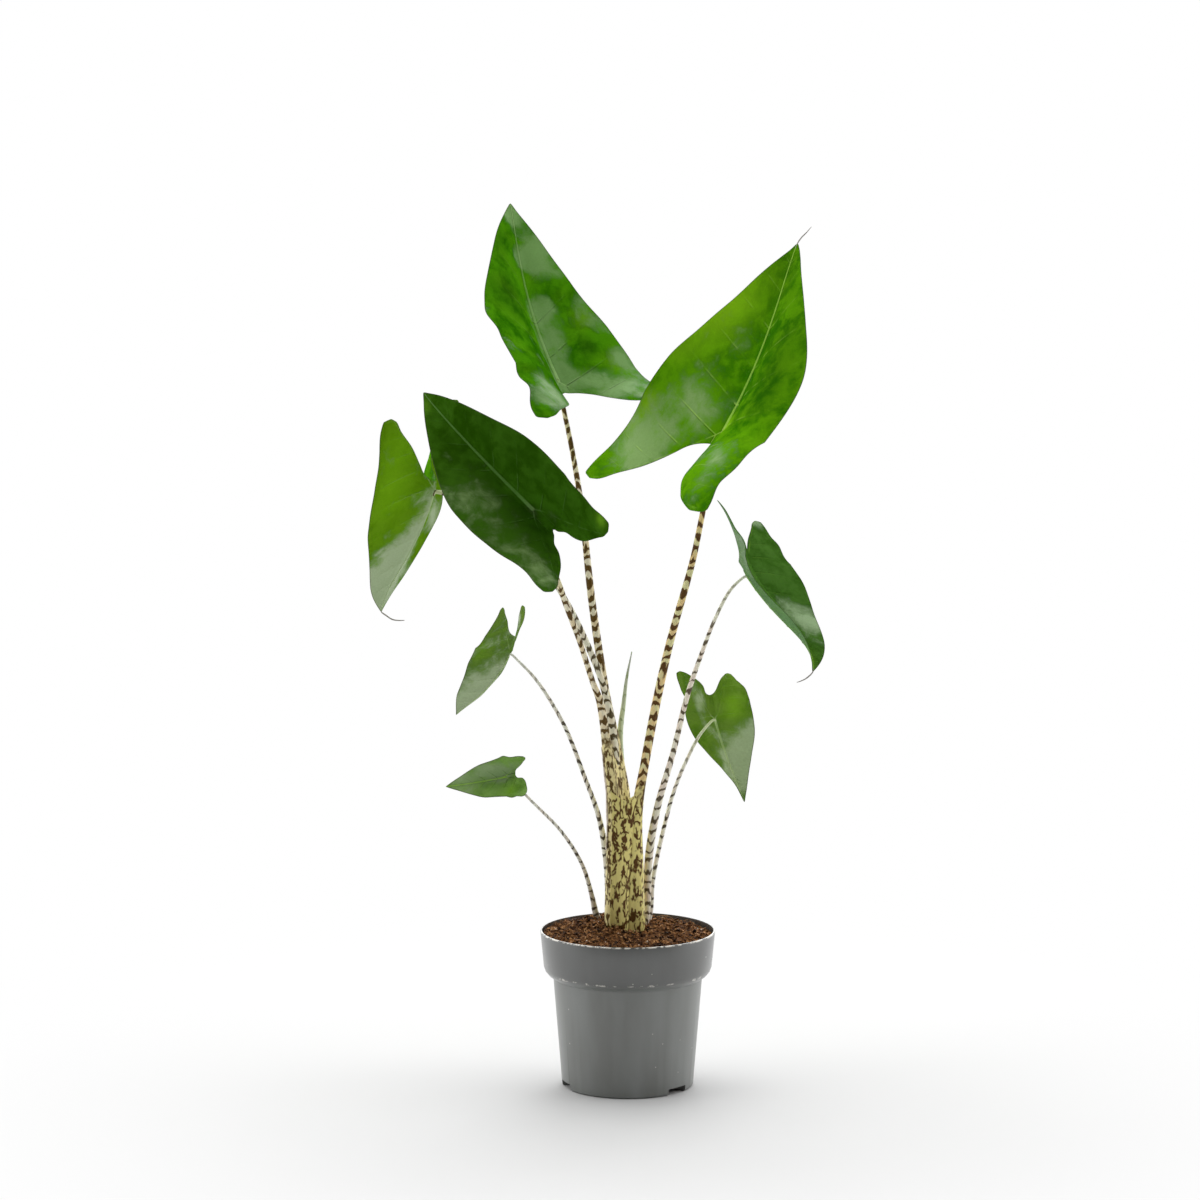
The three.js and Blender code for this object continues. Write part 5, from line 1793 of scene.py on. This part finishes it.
LEAVES = (
    Leaf("a", (-67, 60, 683), (134, 54, 1), 198, 89, 14, 113, (-15, 10, -16), (-4, 33, -3, 17),
         (56, 43, 13), (19, 21, 14), (-43, -24), Wave(3.8, -1.4, 2.9, 22), Wave(1.2, 0.7, 2.4, 36),
         (2, 2, 7, 6, -11), (-1, -3, -3, 3, 1),
         upper_skin("a", "256002", "4a8a0c", bloom="6c9450", vein="8ab066", vein_strength=0.3,
                    rib_strength=0.7),
         under_skin("a", "5f8c3c", "7ba45c"), seed=3,
         bloom=((186, 0, 16, 0.8), (150, -20, 20, 0.6), (119, -40, 16, 0.55), (85, -60, 17, 0.5),
                (52, -72, 17, 0.5), (20, -80, 18, 0.5), (-5, -86, 18, 0.4), (132, -10, 22, 0.65),
                (80, -8, 20, 0.85), (45, -10, 22, 0.85), (5, -10, 22, 0.7), (-23, -40, 28, 0.55),
                (-35, -75, 24, 0.4), (98, -32, 17, -0.3), (32, -45, 17, -0.5), (16, -26, 12, -0.3),
                (118, 52, 9, 0.3), (62, 84, 10, 0.4), (20, 90, 14, 0.35), (88, 37, 30, -0.4),
                (150, 22, 18, -0.3), (-60, 92, 22, 0.45), (-50, 62, 24, 0.5), (-25, 66, 20, 0.4)),
         flush=((7, -70, 12, 0.3), (68, -53, 14, 0.3)),
         nicks=((1, 0.31, 0.05, 2.2), (1, 0.21, 0.05, -3.0))),
    Leaf("b", (90, -30, 643), (17, 59, 14), 200, 100, 15, 133, (-8, 14, 23), (7, 8, -3, -13),
         (8, 22, 29), (70, 41, 15), (-13, -56), Wave(0.4, 0.3, 2.4, 173), Wave(3.5, -1.7, 2.1, 87),
         (-2, 1, 4, 3, -5), (13, 10, 8, 3, -5),
         upper_skin("b", "317204", "62a00c", bloom="84a860", vein="b0dc5c"),
         under_skin("b", "5f8c3c", "7ba45c"), seed=5,
         bloom=((0, 60, 48, 0.5), (-50, 88, 40, 0.75), (30, 55, 26, 0.2), (6, 26, 20, 0.4),
                (-35, -92, 34, 0.45), (-75, -118, 22, 0.3), (89, 20, 16, 0.25), (114, 48, 16, 0.25),
                (90, -50, 40, -0.35), (40, -74, 36, -0.35), (150, -15, 30, -0.25),
                (182, 0, 22, -0.3)),
         flush=((95, 72, 32, 0.6), (130, 46, 30, 0.7), (165, 20, 24, 0.2), (-6, 104, 16, 0.9),
                (-32, 112, 12, 0.6), (2, -34, 14, 0.6), (60, 92, 16, 0.4)),
         thread=((3.8, 0, 5.7, 0.7), (8.6, 0, 10.5, 0.5), (13.4, 0, 16.2, 0.25))),
    Leaf("c", (-90, -90, 574), (173, 44, -89), 161, 85, 26, 82, (24, 19, 0), (-3, 16, -2, 0),
         (72, 58, 16), (59, 46, 19), (-8, -13), Wave(0.8, -0.9, 2.4, 1), Wave(1.2, -0.4, 2.6, 107),
         (6, 4, 6, 3, -14), (4, 1, 0, 3, -19),
         # The upper greens of this leaf are darker than those of the others, a painted shade
         upper_skin("c", "244304", "3d6418", vein="7fa860", bloom="7c9a5c", flush="6c9a24",
                    vein_strength=0.35, rib_strength=0.6, cushion=0.0),
         under_skin("c", "456c30", "5c8346"), seed=9, relief=0.8, notch=-7,
         bloom=((44, -44, 34, -0.3), (95, -32, 26, -0.25), (-19, -49, 30, -0.2), (-23, 56, 34, 0.48),
                (-66, 74, 24, 0.44), (40, 40, 40, 0.45), (-12, -15, 16, 0.4)),
         flush=((-69, -79, 8, 1.0), (147, 7, 7, 0.4))),
    Leaf("d", (-188, 20, 580), (139, -70, -26), 147, 74, 10, 91, (-30, 35, -14), (16, 9, -15, -11),
         (28, 35, 23), (47, 45, -4), (-16, -70), Wave(0.6, 0.5, 2.4, 151), Wave(2.8, -0.6, 2.2, 191),
         (1, 2, 4, 5, -4), (6, 7, 9, 5, 8),
         upper_skin("d", "3a7408", "55960c"),
         # This underside's greens are yellower than most, a painted glow of light through the leaf
         under_skin("d", "577e06", "6c921a", vein="b8cc98", bloom="a8b894", dusty=0.1), seed=11,
         bloom=((20, -10, 22, 0.6), (52, -4, 26, 0.6), (84, 10, 30, 0.75), (114, 12, 24, 0.75),
                (135, 0, 16, 0.6), (50, -60, 16, 0.6)),
         flush=((-40, 61, 30, 0.5), (6, 56, 28, 0.5)),
         thread=((4.8, 0, -3.8, 0.8), (10.5, -1, -7.4, 0.7), (16.5, -2, -8.4, 0.6), (23.0, -3, -8.2, 0.35))),
    Leaf("e", (113, -60, 508), (-38, -51, -25), 119, 57, 15, 69, (-29, 73, -7), (6, -5, 5, 1),
         (30, 38, 36), (40, 30, 24), (-10, -56), Wave(1.8, 1.0, 2.5, 308), Wave(4.1, -0.1, 1.9, 160),
         (1, 4, 5, 9, -1), (2, 3, 5, 6, 3),
         upper_skin("e", "365a1a", "4e7430", bloom="8aa478", vein_strength=0.25, cushion=0.0),
         under_skin("e", "5c7f50", "75986a"), seed=13,
         bloom=((63, 22, 18, 0.5), (45, 18, 16, 0.35), (-55, 61, 10, 0.4), (-24, -34, 16, 0.4),
                (-6, -14, 12, 0.4), (80, 24, 16, 0.4)),
         flush=((106, -11, 12, 0.4),),
         thread=((-5.5, 0, -5.5, 0.7), (-10.5, 0, -8.2, 0.5), (-15.0, 0, -9.8, 0.3))),
    Leaf("f", (86, 70, 350), (52, -67, -20), 95, 50, 25, 49, (1, 18, -12), (3, 30, -5, 9),
         (50, 36, 17), (77, 53, 16), (-23, -11), Wave(2.3, -1.0, 2.2, 186), Wave(1.1, -1.2, 2.4, 47),
         (2, 2, 0, -7, -10), (1, 4, 2, 1, -2),
         upper_skin("f", "3f7a14", "54901c"),
         # This underside's greens are yellower than most, a painted glow of light through the leaf
         under_skin("f", "53751a", "6e8a38", vein="b5cd8a", bloom="a8bc90", dusty=0.1), seed=15,
         bloom=((-18, 22, 16, 0.55), (45, -15, 26, 0.7), (70, -9, 18, 0.7), (34, -30, 16, 0.3),
                (12, 13, 12, 0.35)),
         flush=((-2, -25, 14, 0.5),)),
    Leaf("g", (-115, 25, 421), (160, -66, 12), 87, 49, 18, 50, (-43, 21, 3), (12, 26, -6, 7),
         (0, 25, 29), (29, 37, 17), (-13, -44), Wave(2.1, 0.9, 2.0, 259), Wave(1.0, -0.1, 2.3, 267),
         (0, 2, 2, 7, -1), (4, -4, -8, -8, -9),
         upper_skin("g", "3f7a14", "54901c"),
         # This underside's greens are yellower than most, a painted glow of light through the leaf
         under_skin("g", "527022", "70883e", vein="b5cd8a", bloom="acbc98"), seed=17,
         bloom=((45, 6, 16, 0.6), (70, 4, 14, 0.7), (16, 4, 10, 0.35), (-30, -18, 14, 0.5)),
         flush=((1, 38, 14, 0.3),), nicks=((1, -0.65, 0.16, 4.0),)),
    Leaf("h", (-118, -25, 308), (174, -13, -80), 62, 31, 10, 30, (14, 12, -6), (-1, 19, 9, 4),
         (52, 46, 22), (60, 49, 23), (-12, -11), Wave(0.8, -0.5, 2.5, 345), Wave(1.1, -0.6, 2.4, 2),
         (1, 3, -1, -1, -6), (0, 3, 0, 0, 0),
         upper_skin("h", "668c3c", "86aa5a", bloom="90a878", vein_strength=0.4),
         under_skin("h", "4c7040", "65885a"), seed=19,
         bloom=((11, -13, 14, 0.75), (2, -3, 12, 0.75), (40, 0, 18, 0.75), (-16, -17, 12, 0.6)),
         flush=((-5, 19, 8, 0.4),)),
)
DRY_TIP = PetioleSkin("dry_drip_tip", "b5b0ac", "c2bdb8", "a8a49f", "8d8780", "c6c2bf", length=60.0)
MEMBRANE = PetioleSkin("sheath_membrane", "e3d9cf", "d8cbb8", "d6c8b4", "a08f78", "e3d9cf")

PETIOLE_C = (
    (-9, 24, 130, 8), (-13, 20, 154, 9), (-13, 19, 210, 8.3), (-14, 17, 266, 6.2), (-19, 9, 319, 4.8),
    (-27, -12, 379, 3.6), (-34, -22, 400, 2.8), (-46, -42, 441, 2.6), (-60, -62, 482, 2.7),
    (-64, -72, 496, 2.8), (-78, -85, 534, 2.7), (-90, -90, 574, 2.2),
)
PETIOLE_A = (
    (-2, 28, 130, 8), (-2, 28, 151, 9), (-3, 27, 217, 8.7), (-4, 29, 275, 7), (-11, 33, 324, 5.4),
    (-22, 40, 383, 4.0), (-35, 50, 470, 3.7), (-45, 58, 560, 3), (-55, 62, 620, 2.5), (-67, 60, 683, 2.2),
)
STALKS = (
    Stalk("b", (
        (4, 17, 130, 9), (6, 13, 154, 11), (6, 12, 200, 9.8), (9, 10, 268, 5.5), (17, 6, 319, 4.2),
        (28, 2, 379, 4.1), (41, -3, 438, 3.7), (62, -10, 516, 3.1), (74, -16, 575, 2.6), (90, -30, 643, 2.2),
    ), PetioleSkin("petiole_b", "e0daa4", "e6c88e", "e4d888", "583a10", "b9bb58", broken=0.9,
                   net_ends=175.0, length=520.0), webs=(Web(PETIOLE_C, 138, 288),)),
    Stalk("c", PETIOLE_C, PetioleSkin("petiole_c", length=465.0, net_ends=225.0),
          sheath=(Sheath(100, 205, 150, 215, finish=MEMBRANE),), webs=(Web(PETIOLE_A, 150, 350),)),
    Stalk("a", PETIOLE_A, PetioleSkin("petiole_a", thick=6.4, length=560.0, net_ends=225.0, top="dccf9d")),
    Stalk("d", (
        (-5, 36, 128, 7), (-8, 38, 156, 8.5), (-9, 35, 224, 7.5), (-12, 29, 295, 5.6), (-16, 22, 352, 4.2),
        (-25, 24, 393, 3.1), (-36, 18, 423, 3.1), (-59, 8, 473, 2.8), (-90, 0, 520, 2.7),
        (-140, 5, 560, 2.3), (-188, 20, 580, 1.9),
    ), PetioleSkin("petiole_d", "e4e2cc", "e2d8c0", band="554a30", thick=4.8, broken=0.8, length=540.0,
                   net_ends=190.0, top="c4cb98")),
    Stalk("e", (
        (12, 31, 126, 4), (18, 33, 160, 3.9), (21, 27, 222, 3.9), (29, 13, 272, 3.4), (43, -5, 326, 2.8),
        (57, -26, 388, 2.5), (70, -40, 430, 2.1), (83, -50, 466, 1.7), (98, -57, 495, 1.5),
        (113, -60, 508, 1.2),
    ), PetioleSkin("petiole_e", "ece8d2", "eadccb", "e4dec4", "5e523e", "d8dec6", period=11.0, thick=3.6,
                   broken=0.7, net_ends=30.0, length=430.0, plain_top=0.2), sides=20),
    Stalk("g", (
        (-12, 36, 126, 4), (-17, 45, 160, 4), (-20, 45, 208, 3.6), (-28, 43, 256, 2.6), (-42, 38, 297, 2.1),
        (-62, 34, 349, 1.9), (-88, 29, 393, 1.6), (-104, 27, 411, 1.3), (-115, 25, 421, 1.1),
    ), PetioleSkin("petiole_g", "e8e8da", "e2dacc", "e2dec8", "50483a", "e0e2d6", period=10.0, thick=3.2,
                   broken=0.7, net_ends=30.0, length=330.0, plain_top=0.3), sides=18),
    Stalk("f", (
        (12, 38, 126, 3), (22, 49, 158, 2.8), (25, 51, 192, 2.3), (35, 55, 240, 2.1), (46, 60, 280, 1.9),
        (58, 64, 309, 1.7), (72, 67, 335, 1.4), (86, 70, 350, 1.2),
    ), PetioleSkin("petiole_f", "eaeada", "e6dccf", "e4e0cc", "524a3c", "c8d8a4", period=10.0, thick=3.0,
                   broken=0.7, net_ends=20.0, length=240.0, plain_top=0.35), sides=18),
    Stalk("h", (
        (-15, 36, 124, 3.4), (-30, 47, 156, 3.3), (-35, 43, 178, 2.4), (-44, 32, 210, 1.9),
        (-64, 12, 247, 1.6), (-90, -7, 278, 1.4), (-118, -25, 308, 1.1),
    ), PetioleSkin("petiole_h", "e4e4d6", "dcd4c6", "dedcc8", "585042", "e0e2d6", period=9.0, thick=2.6,
                   broken=0.7, net_ends=20.0, length=235.0, plain_top=0.45), sides=18),
)
NEW_LEAF = NewLeaf(
    ((0, 38, 130, 4), (0, 41, 160, 4.2), (-1, 42, 215, 3.8), (-4, 42, 264, 3.3), (-6, 42, 303, 3.1),
     (-7, 41, 342, 2.9), (-4, 40, 368, 2.2), (-1, 39, 394, 1.4), (4, 38, 421, 0.5)),
    PetioleSkin("rolled_leaf", "c3cfa6", "c8d2b0", "bcc89c", "93a678", "aab0a4", thick=1.0, net_ends=0.0,
                length=290.0),
)


def main() -> None:
    """Build the plant, its pot and the studio."""
    logging.basicConfig(level=logging.INFO, format="%(message)s")
    Studio().build()
    NurseryPot().build()
    PottingSoil().build()
    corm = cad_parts["corm"]
    corm.data.materials.clear()
    corm.data.materials.append(BarkSoil("corm_skin", "3a2416", "6b4a2f", "8f6a48").make())
    for leaf in LEAVES:
        leaf.build(LARGE_PITCH if leaf.length > LARGE_BLADE else SMALL_PITCH)
    for stalk in STALKS:
        stalk.build(next(leaf for leaf in LEAVES if leaf.name == stalk.name))
    NEW_LEAF.build()


if __name__ == "__main__":
    main()
